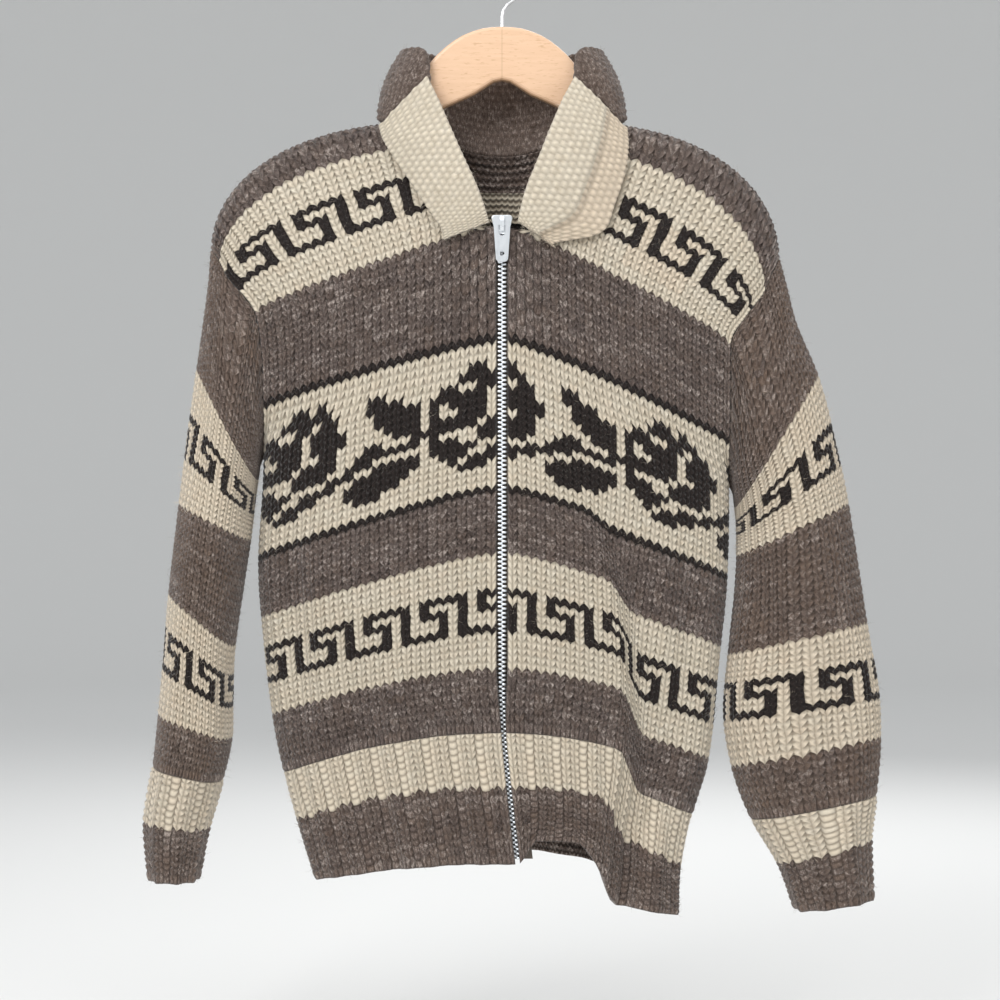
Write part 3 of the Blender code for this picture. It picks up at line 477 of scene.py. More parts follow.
def armhole_point(side, share):
    """The armhole's edge, from the shoulder over the front to the underarm and up the back."""
    way = ARMHOLE_COURSES[::-1] + ARMHOLE_COURSES[1:]
    at = share * (len(way) - 1)
    course = float(np.interp(at, range(len(way)), way))
    face = FRONT if at <= len(ARMHOLE_COURSES) - 1 else BACK
    point = body_point(face, side, pi / 2, course)
    if course in (UNDERARM, SHOULDER):
        point[1] = 0.0
    return point


def sleeve_base(side, courses, wales):
    """Stitch corners round a sleeve; its first courses ease onto the armhole."""
    shares = np.linspace(0, 1, wales + 1)
    angles = shares * 2 * pi
    edge = np.array([armhole_point(side, share) for share in shares])
    shift = edge - sleeve_ring(side, 0, angles)
    rows = []
    for course in courses:
        keep = 1 - smoothstep(course / ARMHOLE_FADE)
        rows.append(sleeve_ring(side, course, angles) + shift * keep)
    return np.array(rows)


def spread(grid, u, v):
    """Values of a grid between its corners; u runs along a row and v up the rows."""
    rows, columns = grid.shape[0] - 1, grid.shape[1] - 1
    u, v = np.clip(u, 0, columns), np.clip(v, 0, rows)
    i = np.minimum(u.astype(int), columns - 1)
    j = np.minimum(v.astype(int), rows - 1)
    fu, fv = (u - i)[..., None], (v - j)[..., None]
    low = grid[j, i] * (1 - fu) + grid[j, i + 1] * fu
    high = grid[j + 1, i] * (1 - fu) + grid[j + 1, i + 1] * fu
    return low * (1 - fv) + high * fv


def grid_normals(base, outward, wrap):
    """Normals at the stitch corners, on the side that the outward vectors name."""
    if wrap:
        padded = np.concatenate([base[:, -2:-1], base, base[:, 1:2]], axis=1)
        along = np.gradient(padded, axis=1)[:, 1:-1]
    else:
        along = np.gradient(base, axis=1)
    up = np.gradient(base, axis=0)
    normals = units(np.cross(along, up))
    turned = np.sum(normals * outward) < 0
    return (-normals if turned else normals), turned


# Heights over one stitch: across its two slanted legs, and along them.
LEG_ACROSS = np.array((0.0, 0.17, 0.34, 0.5, 0.66, 0.83))
LEG_HEIGHT = np.array((0.0, 0.95, 0.9, 0.14, 0.9, 0.95))
LEG_ALONG = np.array((0.0, 0.34, 0.68))
LEG_SWELL = np.array((0.42, 1.0, 0.9))
LEG_SLANT = 0.85
LEG_LEAN = 0.5
PURL_HEIGHT = np.array((0.1, 0.7, 1.0, 1.0, 1.0, 0.7))
PURL_SWELL = np.array((0.1, 0.9, 0.8))
# What each knitted piece leaves for the fuzz: its name, points, ways up and tones.
loose_ends = []


def grid_quads(ids, flip, wrap=False):
    """The faces between the rows of a grid of vertices."""
    right = np.roll(ids, -1, axis=1) if wrap else ids[:, 1:]
    left = ids if wrap else ids[:, :-1]
    corners = [left[:-1], right[:-1], right[1:], left[1:]]
    return np.stack(corners[::-1] if flip else corners, axis=-1).reshape(-1, 4)


def paint_wool(mesh, tones):
    """Gives the corners of each face its wool, shade and warmth."""
    totals = np.empty(len(mesh.polygons), dtype=np.int32)
    mesh.polygons.foreach_get("loop_total", totals)
    colours = np.ones((len(mesh.loops), 4), dtype=np.float32)
    colours[:, :3] = np.repeat(tones, totals, axis=0)
    paint = mesh.color_attributes.new(name="yarn", type="FLOAT_COLOR", domain="CORNER")
    paint.data.foreach_set("color", colours.ravel())


def mark_stitches(mesh, swell, places):
    """Gives each vertex the height of its yarn, which sets the painted shade in the grooves, and its
    place, counted in stitches.
    """
    mesh.attributes.new(name="swell", type="FLOAT", domain="POINT").data.foreach_set(
        "value", swell.astype(np.float32).ravel())
    loops = np.empty(len(mesh.loops), dtype=np.int32)
    mesh.loops.foreach_get("vertex_index", loops)
    uv = mesh.uv_layers.new(name="knit")
    uv.data.foreach_set("uv", places[loops].astype(np.float32).ravel())


def knit_piece(name, base, outward, yarn, thickness, relief, wrap=False, lift=None, purl=None):
    """A knitted wall: raised stitches outside, a plainer inside, and a closed rim.

    yarn holds wool, shade and warmth for each stitch; lift raises whole wales; purl marks the
    stitches that show a bump in place of two legs.
    """
    rng = np.random.default_rng(len(name) * 7 + base.shape[0])
    rows, wales = base.shape[0] - 1, base.shape[1] - 1
    steps, levels = len(LEG_ACROSS), len(LEG_ALONG)
    normals, turned = grid_normals(base, outward, wrap)
    u_line = (np.arange(wales)[:, None] + LEG_ACROSS).ravel()
    v_line = (np.arange(rows)[:, None] + LEG_ALONG).ravel()
    if not wrap:
        u_line = np.append(u_line, wales)
    v_line = np.append(v_line, rows)
    u, v = np.meshgrid(u_line, v_line)
    if purl is None:
        purl = np.zeros((rows, wales))
    i = np.minimum(u.astype(int), wales - 1)
    j = np.minimum(v.astype(int), rows - 1)
    is_purl = purl[j, i]
    slant = LEG_SLANT * np.abs(2 * (u - np.floor(u)) - 1) * np.clip(np.minimum(v, rows - v), 0, 1)
    slant *= 1 - 0.85 * is_purl
    lean = LEG_LEAN * np.sin(2 * pi * (u - 0.5)) * (v - np.floor(v) - 0.34) * (1 - is_purl)
    wander = rng.normal(0, 0.045, (rows + 1, wales + 1, 3))
    if wrap:
        wander[:, -1] = wander[:, 0]
    stray = spread(wander, u, v)
    edge = np.clip(np.minimum(v, rows - v), 0, 1)
    side_edge = 1 if wrap else np.clip(np.minimum(u, wales - u), 0, 1)
    at_u = u + (stray[..., 0] + lean) * edge * side_edge
    at_v = v + slant + stray[..., 1] * edge
    points = spread(base, at_u, at_v)
    ups = units(spread(normals, at_u, at_v))
    step_index = np.arange(u.shape[1]) % steps
    level_index = np.arange(u.shape[0]) % levels
    legs = np.outer(LEG_SWELL[level_index], LEG_HEIGHT[step_index])
    bumps = np.outer(PURL_SWELL[level_index], PURL_HEIGHT[step_index])
    height = legs * (1 - is_purl) + bumps * is_purl
    if not wrap:
        height[:, -1] = 0.0
    width = np.linalg.norm(np.diff(base, axis=1), axis=2)
    width = np.minimum(width[j, i], width[j + 1, i])
    rise = relief * (height - 0.38) * (1 + 2 * stray[..., 2]) * np.clip(width / 3.5 - 0.1, 0, 1)
    if lift is not None:
        rise = rise + spread(lift[..., None], at_u, v)[..., 0]
    outer = points + ups * rise[..., None]
    inside = base - normals * thickness
    if wrap:
        inside = inside[:, :-1]
    tall, wide = outer.shape[:2]
    ids = np.arange(tall * wide).reshape(tall, wide)
    inner_ids = ids.size + np.arange(inside.size // 3).reshape(inside.shape[:2])
    outer_faces = grid_quads(ids, turned, wrap)
    inner_faces = grid_quads(inner_ids, not turned, wrap)
    tones = np.repeat(np.repeat(yarn, levels, axis=0), steps, axis=1).reshape(-1, 3)
    edges = [(ids[0], inner_ids[0], steps, turned, yarn[0]),
             (ids[-1], inner_ids[-1], steps, not turned, yarn[-1])]
    if not wrap:
        edges += [(ids[:, 0], inner_ids[:, 0], levels, not turned, yarn[:, 0]),
                  (ids[:, -1], inner_ids[:, -1], levels, turned, yarn[:, -1])]
    rims, rim_tones = [], []
    for fine, coarse, step, flip, tones_there in edges:
        fine, coarse = fine.tolist(), coarse.tolist()
        for k, tone in enumerate(tones_there):
            loop = [fine[(k * step + s) % len(fine)] for s in range(step + 1)]
            loop += [coarse[(k + 1) % len(coarse)], coarse[k]]
            rims.append(loop if flip else loop[::-1])
            rim_tones.append(tone)
    places = np.concatenate([outer.reshape(-1, 3), inside.reshape(-1, 3)]) * MM
    faces = outer_faces.tolist() + inner_faces.tolist() + rims
    tones = np.concatenate([tones, yarn.reshape(-1, 3), np.array(rim_tones)])
    swell = np.concatenate([np.clip(height, 0, 1).ravel(), np.full(inner_ids.size, 0.7)])
    piece = mesh_piece(name, places, faces, wool(), wool_inside())
    mesh = piece.data
    inner_u, inner_v = np.meshgrid(np.arange(inside.shape[1]), np.arange(inside.shape[0]))
    counted = [np.stack(pair, -1).reshape(-1, 2) for pair in ((u, v), (inner_u, inner_v))]
    paint_wool(mesh, tones)
    mark_stitches(mesh, swell, np.concatenate(counted))
    marks = np.zeros(len(faces), dtype=np.int32)
    marks[len(outer_faces):len(outer_faces) + len(inner_faces)] = 1
    mesh.polygons.foreach_set("material_index", marks)
    shades = spread(np.pad(yarn, ((0, 1), (0, 1), (0, 0)), mode="edge"), u, v)
    loose_ends.append((name, outer.reshape(-1, 3), ups.reshape(-1, 3), shades.reshape(-1, 3)))
    return piece


def add_object(name, data):
    added = bpy.data.objects.new(name, data)
    bpy.context.scene.collection.objects.link(added)
    return added


def mesh_piece(name, places, faces, *materials, smooth=True):
    mesh = bpy.data.meshes.new(name)
    mesh.from_pydata(places.tolist(), [], faces)
    if smooth:
        mesh.shade_smooth()
    for material in materials:
        mesh.materials.append(material)
    return add_object(name, mesh)


def math_node(operation, swapped=False):
    """A method that adds a Math node for its value and the other one, in that order or swapped."""
    def method(self, *others):
        values = (*others, self) if swapped else (self, *others)
        return self.paint.node("Math", dict(enumerate(values)), operation=operation)
    return method


class Signal:
    """A value in a material's nodes; arithmetic on it adds Math nodes."""

    def __init__(self, paint, socket):
        self.paint, self.socket = paint, socket

    __add__, __radd__ = math_node("ADD"), math_node("ADD", True)
    __sub__, __rsub__ = math_node("SUBTRACT"), math_node("SUBTRACT", True)
    __mul__, __rmul__ = math_node("MULTIPLY"), math_node("MULTIPLY", True)
    __pow__ = math_node("POWER")
    abs = math_node("ABSOLUTE")
    sine = math_node("SINE")

    def clamp(self, low=0.0, high=1.0):
        return self.paint.node("Clamp", {"Value": self, "Min": low, "Max": high})


class Paint:
    """A material and its nodes."""

    def __init__(self, name, **constants):
        self.material = bpy.data.materials.new(name)
        self.material.use_nodes = True
        self.tree = self.material.node_tree
        self.shader = self.tree.nodes["Principled BSDF"]
        for key, value in constants.items():
            self.shader.inputs[key.replace("_", " ")].default_value = value

    def node(self, kind, links=None, output=0, **settings):
        made = self.tree.nodes.new("ShaderNode" + kind)
        for key, value in settings.items():
            if key == "stops":
                while len(made.color_ramp.elements) < len(value):
                    made.color_ramp.elements.new(0.5)
                for element, (place, colour) in zip(made.color_ramp.elements, value):
                    element.position, element.color = place, (*colour, 1.0)
            else:
                setattr(made, key, value)
        for key, value in (links or {}).items():
            self.feed(made.inputs[key], value)
        return Signal(self, made.outputs[output])

    def feed(self, socket, value):
        if isinstance(value, Signal):
            self.tree.links.new(value.socket, socket)
        else:
            socket.default_value = value

    def mix(self, factor, one, two, blend="MIX"):
        one = (*one, 1.0) if isinstance(one, tuple) else one
        two = (*two, 1.0) if isinstance(two, tuple) else two
        links = {0: factor, 6: one, 7: two}
        return self.node("Mix", links, 2, data_type="RGBA", blend_type=blend)

    def place(self):
        return self.node("TexCoord", {}, "Object")

    def parts(self, kind, value):
        """The three parts of a colour or a vector."""
        outputs = self.node(kind, {0: value}).socket.node.outputs
        return [Signal(self, outputs[k]) for k in range(3)]

    def noise(self, scale, detail=2.0, rough=0.5, stretch=None):
        spot = self.place()
        if stretch:
            spot = self.node("Mapping", {"Vector": spot, "Scale": stretch})
        return self.node("TexNoise", {"Vector": spot, "Scale": scale, "Detail": detail,
                                      "Roughness": rough})

    def strands(self):
        """Streaks that run up each stitch, about a dozen fibres wide."""
        place = self.node("UVMap", uv_map="knit")
        spot = self.node("Mapping", {"Vector": place, "Scale": (5.0, 1.5, 1.0)})
        return self.node("TexNoise", {"Vector": spot, "Scale": 1.0, "Detail": 3.0, "Roughness": 0.6})

    def surface(self, socket, value):
        self.feed(self.shader.inputs[socket], value)

    def relief(self, height, distance, strength=1.0):
        bumped = self.node("Bump", {"Strength": strength, "Distance": distance, "Height": height})
        self.surface("Normal", bumped)


CREAM_COLOUR = (0.78, 0.71, 0.585)
CREAM_SHADE = (0.60, 0.515, 0.385)
PINK_COLOUR = (0.76, 0.625, 0.475)
GREY_COLOUR = (0.135, 0.103, 0.090)
GREY_LIGHT = (0.46, 0.395, 0.355)
GREY_DARK = (0.040, 0.028, 0.024)
GREY_WARM = (0.19, 0.125, 0.085)
DARK_COLOUR = (0.018, 0.0115, 0.0095)


def wool_colours(paint, grooves=True):
    """Colour of the wool from its stitch: dark, heather grey or cream, with flecks, and painted shade in
    the grooves between the legs when grooves is set.
    """
    kind, shade, warm = paint.parts("SeparateColor", paint.node("Attribute", attribute_name="yarn"))
    fleck = paint.noise(900.0, 3.0, 0.65)
    streak = paint.strands() if grooves else paint.noise(420.0, 2.0, 0.55)
    cloud = paint.noise(26.0, 2.0, 0.5)
    mottle = fleck * 0.4 + streak * 0.6 + (shade - 0.5) * 0.16
    heather = paint.node("ValToRGB", {"Fac": mottle}, stops=(
        (0.36, GREY_DARK), (0.47, GREY_COLOUR), (0.53, GREY_COLOUR), (0.65, GREY_LIGHT)))
    heather = paint.mix(warm * (0.25 + cloud), heather, GREY_WARM)
    stain = (streak * 0.9 + fleck * 0.5 - 0.32 + (0.5 - shade) * 0.5).clamp()
    cream = paint.mix(stain, CREAM_COLOUR, CREAM_SHADE)
    cream = paint.mix(warm.clamp(), cream, PINK_COLOUR)
    is_light = (kind * 5.0 - 3.0).clamp()
    is_dark = (1.0 - kind * 5.0).clamp()
    colour = paint.mix(is_light, heather, cream)
    colour = paint.mix(is_dark, colour, DARK_COLOUR)
    if grooves:
        # Painted shade: where the yarn lies low, in the grooves between the legs, the colour is
        # multiplied darker.
        swell = paint.node("Attribute", {}, "Fac", attribute_name="swell")
        groove_shade = ((1.0 - swell * 1.1).clamp() ** 1.2) * 0.62
        colour = paint.mix(groove_shade, colour, (0.055, 0.036, 0.022), "MULTIPLY")
    return colour, fleck


@cache
def wool():
    paint = Paint("hand_spun_wool", Roughness=0.92, Sheen_Weight=0.28, Sheen_Roughness=0.5,
                  Specular_IOR_Level=0.18)
    colour, fleck = wool_colours(paint)
    paint.surface("Base Color", colour)
    fibre = paint.noise(2600.0, 2.0, 0.6, (1.0, 1.0, 0.35))
    paint.relief(fleck * 0.6 + fibre * 0.4, 0.0011, 0.85)
    return paint.material


@cache
def wool_inside():
    """The inside of the knitting, where every stitch shows as a low purl bump, with painted shade between
    the bumps.
    """
    paint = Paint("wool_purl_side", Roughness=0.95, Sheen_Weight=0.2, Sheen_Roughness=0.5,
                  Specular_IOR_Level=0.15)
    colour, fleck = wool_colours(paint, False)
    u, v, _ = paint.parts("SeparateXYZ", paint.node("UVMap", uv_map="knit"))
    arch = (u * 2 * pi).sine().abs() * 0.28
    ridge = ((v + arch) * 2 * pi).sine() * 0.5 + 0.5
    # Painted shade: the colour is multiplied darker between the purl ridges.
    paint.surface("Base Color", paint.mix((1.0 - ridge) * 0.75, colour, (0.10, 0.075, 0.055), "MULTIPLY"))
    paint.relief(ridge * 0.8 + fleck * 0.25, 0.0022, 1.0)
    return paint.material


@cache
def loose_wool():
    paint = Paint("loose_wool_fibres", Roughness=0.9, Sheen_Weight=0.3, Specular_IOR_Level=0.1)
    colour, _ = wool_colours(paint, False)
    paint.surface("Base Color", paint.mix(0.22, colour, (0.62, 0.55, 0.46)))
    return paint.material


def band_wool(bands, course, wale):
    """The wool of one stitch: its band's, or dark where the band's chart has an X."""
    band = next(band for band in bands if course < band.end)
    row = course - band.foot
    if 0 <= row < len(band.chart):
        line = band.chart[-1 - row]
        if line[(wale + band.shift) % len(line)] == "X":
            return DARK
    return band.wool


def yarn_grid(kinds, seed, warmth):
    """Wool, shade and warmth for each stitch; shade drifts along the courses, as hand-spun does."""
    rng = np.random.default_rng(seed)
    rows, wales = kinds.shape
    drift = np.repeat(rng.normal(0, 0.10, (rows, wales // 5 + 2)), 5, axis=1)[:, :wales]
    shade = np.clip(0.5 + drift + rng.normal(0, 0.16, kinds.shape), 0, 1)
    warm = np.clip(warmth + rng.normal(0, 0.08, kinds.shape), 0, 1)
    return np.stack([kinds, shade, warm], axis=-1)


def dress(piece):
    """Hands over a sheet in place of the node that its name begins with."""
    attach(piece, "garment")
    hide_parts(piece.name.rpartition("_")[0])


def stitch_kinds(bands, courses, wales):
    return np.array([[band_wool(bands, course, wale) for wale in wales] for course in courses])


def wales_from(side, count):
    """Wale numbers away from the middle, or from a sleeve's inner line, on the wearer's left or right."""
    return range(count) if side == LEFT else range(-1, -1 - count, -1)


def front(side, name):
    courses = range(RIB_TOP, SHOULDER + 1)
    base = front_base(side, courses)
    kinds = stitch_kinds(BODY_BANDS, courses[:-1], wales_from(side, FRONT_WALES))
    warmth, purl = np.full(kinds.shape, 0.12), np.zeros(kinds.shape)
    for row, wale in np.ndindex(*kinds.shape):
        course = row + RIB_TOP
        reach = abs(base[row, wale + 1, 0]) - front_edge(course)
        in_border = course >= BORDER_FOOT and reach < NECK_BORDER
        if in_border:
            kinds[row, wale], warmth[row, wale] = CREAM, 0.62
        if side == LEFT and course in WARM_COURSES and wale in WARM_WALES:
            warmth[row, wale] = 0.5
        moss = in_border or (MOSS_FOOT < course < BORDER_FOOT and wale < MOSS_WALES)
        purl[row, wale] = moss and (wale + course) % 2
    yarn = yarn_grid(kinds, 11 + side, warmth)
    outward = np.array((0.0, -1.0, 0.0))
    return knit_piece(name, base, outward, yarn, CLOTH, STITCH_RELIEF, purl=purl)


def back(name):
    courses = range(RIB_TOP, SHOULDER + 1)
    kinds = stitch_kinds(BODY_BANDS, courses[:-1], range(-FRONT_WALES, FRONT_WALES))
    yarn = yarn_grid(kinds, 23, 0.15)
    outward = np.array((0.0, 1.0, 0.0))
    return knit_piece(name, back_base(courses), outward, yarn, CLOTH, STITCH_RELIEF)


def rib_piece(name, base, outward, yarn, wrap=False):
    """Raises two wales of every three, and sinks the third, as a rib does."""
    rows, wales = yarn.shape[:2]
    line = np.array([RIB_RELIEF * (-0.7, 1.1, -0.7)[k % 3] for k in range(wales + 1)])
    fade = np.clip((rows - np.arange(rows + 1)) / 1.5, 0, 1)[:, None]
    purl = np.tile((np.arange(wales) % 3 == 2).astype(float), (rows, 1))
    return knit_piece(name, base, outward, yarn, RIB_CLOTH, STITCH_RELIEF * 0.9, wrap=wrap,
                      lift=line * fade, purl=purl)


def hem_rib(name, face, side=None):
    courses = range(RIB_TOP + 1)
    base = front_base(side, courses) if face == FRONT else back_base(courses)
    wales = base.shape[1] - 1
    kinds = stitch_kinds(BODY_BANDS, courses[:-1], range(wales))
    yarn = yarn_grid(kinds, 31 + wales + face, 0.25)
    yarn[:10, :, 1] = np.clip(yarn[:10, :, 1] + 0.12 * np.sin(np.arange(10))[:, None], 0, 1)
    return rib_piece(name, base, np.array((0.0, float(face), 0.0)), yarn)


def tube(side, first, last, count, wales, seed, warmth):
    """A sleeve's or a cuff's corners, outward ways and yarn; its rows run up towards the armhole."""
    courses = range(last, first - 1, -1)
    base = sleeve_base(side, courses, count)
    kinds = stitch_kinds(SLEEVE_BANDS, range(last - 1, first - 1, -1), wales)
    outward = base - base[:, :-1].mean(axis=1, keepdims=True)
    return base, outward, yarn_grid(kinds, seed + side, warmth)


def sleeve(side, name):
    made = tube(side, 0, SLEEVE_END, SLEEVE_WALES, wales_from(-side, SLEEVE_WALES), 41, 0.45)
    return knit_piece(name, *made, CLOTH, STITCH_RELIEF, wrap=True)


def cuff(side, name):
    made = tube(side, SLEEVE_END, CUFF_END, CUFF_WALES, range(CUFF_WALES), 51, 0.35)
    return rib_piece(name, *made, wrap=True)


def curve_through(points, count):
    """Points an even share apart on a smooth curve through the given ones."""
    points = np.array(points, dtype=float)
    last = len(points) - 1
    ends = [2 * points[0] - points[1], *points, 2 * points[-1] - points[-2]]
    line = []
    for t in np.linspace(0, last, count):
        k = min(int(t), last - 1)
        f = t - k
        a, b, c, d = ends[k:k + 4]
        line.append(0.5 * (2 * b + (c - a) * f + (2 * a - 5 * b + 4 * c - d) * f * f
                           + (3 * b - a - 3 * c + d) * f ** 3))
    return np.array(line)


def band_piece(name, stations, thickness, rise, cells, across_cells, kind, warm, border=0.0):
    """A thick folded band of knobbly knitting, from its base to its free edge and back.

    A station is (base, free edge, outward way, crown). Past the border, the band rises a step.
    """
    rng = np.random.default_rng(len(name))
    fine = cells * CELL_STEPS + 1
    base = curve_through([s[0] for s in stations], fine)
    free = curve_through([s[1] for s in stations], fine)
    outward = units(curve_through([s[2] for s in stations], fine))
    crown = curve_through([[s[3]] for s in stations], fine)
    half = thickness / 2
    per_side = across_cells * CELL_STEPS
    section = [(k / per_side, 0.0) for k in range(per_side + 1)] + [(1.0, k / 4) for k in (1, 2, 3)]
    section += [(1 - share, 1 - through) for share, through in section]
    across = units(free - base)
    loop = []
    reach = np.linalg.norm(free - base, axis=1, keepdims=True)
    for share, through in section:
        inset = half * 0.8 / reach
        along = inset + (1 - 2 * inset) * share
        line = base + (free - base) * along + outward * crown * 4 * along * (1 - along)
        if rise:
            raised = [smoothstep((float(a) - border) / 0.09 + 0.5) for a in along]
            line = line + outward * rise * np.array(raised)[:, None]
        bulge = sin(pi * through) * half * 0.8 * (1 if share > 0.5 else -1)
        depth = half * (1 - cos(pi * through))
        line = line - outward * depth + across * bulge
        loop.append(line)
    grid = np.stack(loop, axis=1)
    count = grid.shape[1]
    padded = np.concatenate([grid[:, -1:], grid, grid[:, :1]], axis=1)
    normals = units(np.cross(np.gradient(grid, axis=0), np.gradient(padded, axis=1)[:, 1:-1]))
    turned = np.sum(normals[:, :per_side] * outward[:, None]) < 0
    if turned:
        normals = -normals
    v, u = np.meshgrid(np.arange(fine) / CELL_STEPS, np.arange(count) / CELL_STEPS, indexing="ij")
    height = (0.5 + 0.5 * np.cos(2 * pi * (v + 0.5 * (np.floor(u + 0.5) % 2)))) ** 0.6 \
        * (0.62 + 0.38 * np.cos(2 * pi * u))
    plump = rng.uniform(0.62, 1.0, (cells + 2, count // CELL_STEPS + 2))
    height = height * plump[np.round(v).astype(int), np.round(u).astype(int)]
    height = np.clip(height + rng.normal(0, 0.05, height.shape), 0, 1)
    relief = BAND_RELIEF * np.clip(reach / (5.0 * across_cells), 0.2, 1)
    outer = grid + normals * (relief * (height - 0.45))[..., None]
    ids = np.arange(fine * count).reshape(fine, count)
    faces = grid_quads(ids, not turned, True).tolist()
    caps = [ids[0].tolist(), ids[-1][::-1].tolist()]
    if turned:
        caps = [cap[::-1] for cap in caps]
    piece = mesh_piece(name, outer.reshape(-1, 3) * MM, faces + caps, wool())
    noise = rng.normal(0, 0.14, (cells + 1, count // CELL_STEPS + 2))
    noise = np.repeat(np.repeat(noise, CELL_STEPS, axis=0), CELL_STEPS, axis=1)
    shade = np.clip(0.5 + noise[:fine - 1, :count], 0, 1)
    kinds = np.full_like(shade, kind)
    shares = np.array([share for share, _ in section])[None, :]
    warmth = np.where(shares < border, BORDER_WARMTH, warm) * np.ones_like(shade)
    tones = np.stack([kinds, shade, warmth], axis=-1).reshape(-1, 3)
    tones = np.concatenate([tones, tones[:1], tones[-1:]])
    paint_wool(piece.data, tones)
    mark_stitches(piece.data, 0.25 + 0.75 * height, np.stack([v, u], -1).reshape(-1, 2))
    vertex_tones = np.concatenate([tones[:-2], tones[-2 - count:-2]])
    loose_ends.append((name, outer.reshape(-1, 3), normals.reshape(-1, 3), vertex_tones))
    return piece


def body_normal(face, side, turn, course):
    step = 0.004
    low = max(course - 0.2, 0.0)
    along = body_point(face, side, turn, course + 0.2) - body_point(face, side, turn, low)
    behind = turn - step if turn > step else turn
    across = body_point(face, side, turn + step, course) - body_point(face, side, behind, course)
    if across[0] * side < 0 and abs(across[0]) > abs(across[1]):
        across = -across
    return unit(np.cross(across, along)) * -face * side


def square_to(way, base, free):
    """The part of a way that stands square to the line from base to free."""
    across = unit(free - base)
    return unit(way - across * np.dot(way, across))


def lapel_stations(side):
    stations = []
    for row in LAPELS[side]:
        turn = turn_at(FRONT, side, row.course, front_edge(row.course) + row.lap)
        normal = body_normal(FRONT, side, turn, row.course)
        base = body_point(FRONT, side, turn, row.course) + normal * (COLLAR_CLOTH + 0.7)
        free = np.array((row.free_x, row.free_y, row.free_z))
        outward = square_to(np.array((0.0, -1.0, 0.0)), base, free)
        stations.append((base, free, outward, row.crown))
    base, free, outward, crown = stations[0]
    return [(base + LAPEL_FOOT[side], free + LAPEL_FOOT[side], outward, crown)] + stations


def collar_half(side):
    rows = [(np.array((side * row.base_x, row.base_y, row.base_z)), row) for row in COLLAR_ENDS]
    for row in COLLAR_BACK:
        turn = turn_at(BACK, side, SHOULDER, row.base_x)
        base = body_point(BACK, side, turn, SHOULDER)
        rows.append((base + np.array((0.0, COLLAR_STAND[0], COLLAR_STAND[1] - COLLAR_TUCK)), row))
    return [(base, np.array((side * row.free_x, row.free_y, row.free_z)), row.crown)
            for base, row in rows]


def collar_stations():
    rows = collar_half(RIGHT) + collar_half(LEFT)[-2::-1]
    stations = []
    for i, (base, free, crown) in enumerate(rows):
        along = rows[min(i + 1, len(rows) - 1)][0] - rows[max(i - 1, 0)][0]
        outward = square_to(np.array((-along[1], along[0], 0.0)), base, free)
        stations.append((base, free, outward, crown))
    return stations


def zip_line(course):
    """The front's middle edge, drawn straight over its last courses."""
    if course <= ZIP_STRAIGHT:
        return body_point(FRONT, LEFT, 0.0, course)
    low = body_point(FRONT, LEFT, 0.0, ZIP_STRAIGHT)
    top = body_point(FRONT, LEFT, 0.0, ZIP_TOP_COURSE)
    return low + (top - low) * (course - ZIP_STRAIGHT) / (ZIP_TOP_COURSE - ZIP_STRAIGHT)


def zip_place(course):
    """Middle of the chain's front at a course."""
    point = zip_line(course)
    extra = (CHAIN_SET_BACK_CLOSED - CHAIN_SET_BACK) * (1 - smoothstep((course - 28) / 8))
    return point + np.array((0.0, CHAIN_SET_BACK + extra, 0.0))


def zip_track(top):
    courses = np.arange(0.6, top + 0.01, 0.25)
    points = np.array([zip_place(course) for course in courses])
    return points, lengths_along(points)


def track_point(track, at):
    """The point of a track that lies this far along it."""
    points, length = track
    return np.array([np.interp(at, length, points[:, axis]) for axis in range(3)])


def zip_teeth(name):
    """Two rows of metal teeth that mesh in the middle, each tooth a rounded block."""
    bpy.ops.mesh.primitive_cube_add(size=1.0, location=(0, 0, 0))
    tooth = bpy.context.object
    tooth.scale = [length * MM for length in TOOTH]
    bpy.ops.object.transform_apply(location=True, rotation=True, scale=True)
    rounding = tooth.modifiers.new("round", "BEVEL")
    rounding.width = TOOTH_ROUNDING * MM
    bpy.ops.object.modifier_apply(modifier=rounding.name)
    shape = np.array([v.co[:] for v in tooth.data.vertices]) / MM
    sides = [list(p.vertices) for p in tooth.data.polygons]
    bpy.data.objects.remove(tooth, do_unlink=True)
    track = zip_track(CHAIN_TOP)
    places, faces = [], []
    rng = np.random.default_rng(5)
    for k in range(int(track[1][-1] / (TOOTH_PITCH / 2))):
        spot = track_point(track, (k + 0.5) * TOOTH_PITCH / 2)
        hand = -1 if k % 2 else 1
        start = len(places) * len(shape)
        aside = np.array((hand * TOOTH_REACH + rng.normal(0, 0.05), TOOTH_DEPTH, 0.0))
        places.append(shape * TOOTH_SQUASH + aside + spot)
        faces += [[start + v for v in face] for face in sides]
    piece = mesh_piece(name, np.concatenate(places) * MM, faces, zip_metal())
    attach(piece, "garment")
    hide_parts("zip_chain")


def zip_tape(name, side):
    """The woven tape beside the teeth, sewn in behind the knitted edge."""
    track = zip_track(TAPE_TOP)
    length = track[1][-1]
    rows = int(length / 3)
    line = np.array([track_point(track, at) for at in np.linspace(0, length, rows + 1)])
    tall, wide = rows + 1, 7
    x = np.linspace(SEAM / 2, TAPE_WIDTH, wide)
    grids = []
    for depth in (0.0, TAPE_DEPTH):
        behind = CHAIN_DEPTH + SEAM + depth + TAPE_LEAN * x
        shift = np.stack([side * x, behind, np.zeros(wide)], axis=-1)
        grids.append((line[:, None] + shift).reshape(-1, 3))
    ids = np.arange(tall * wide).reshape(tall, wide)
    far = tall * wide
    faces = grid_quads(ids, side < 0).tolist() + grid_quads(ids + far, side > 0).tolist()
    for edge in (ids[0], ids[-1][::-1], ids[:, -1], ids[::-1, 0]):
        for a, b in zip(edge[:-1].tolist(), edge[1:].tolist()):
            loop = [b, a, a + far, b + far]
            faces.append(loop if side > 0 else loop[::-1])
    piece = mesh_piece(name, np.concatenate(grids) * MM, faces, woven_tape(), smooth=False)
    dress(piece)


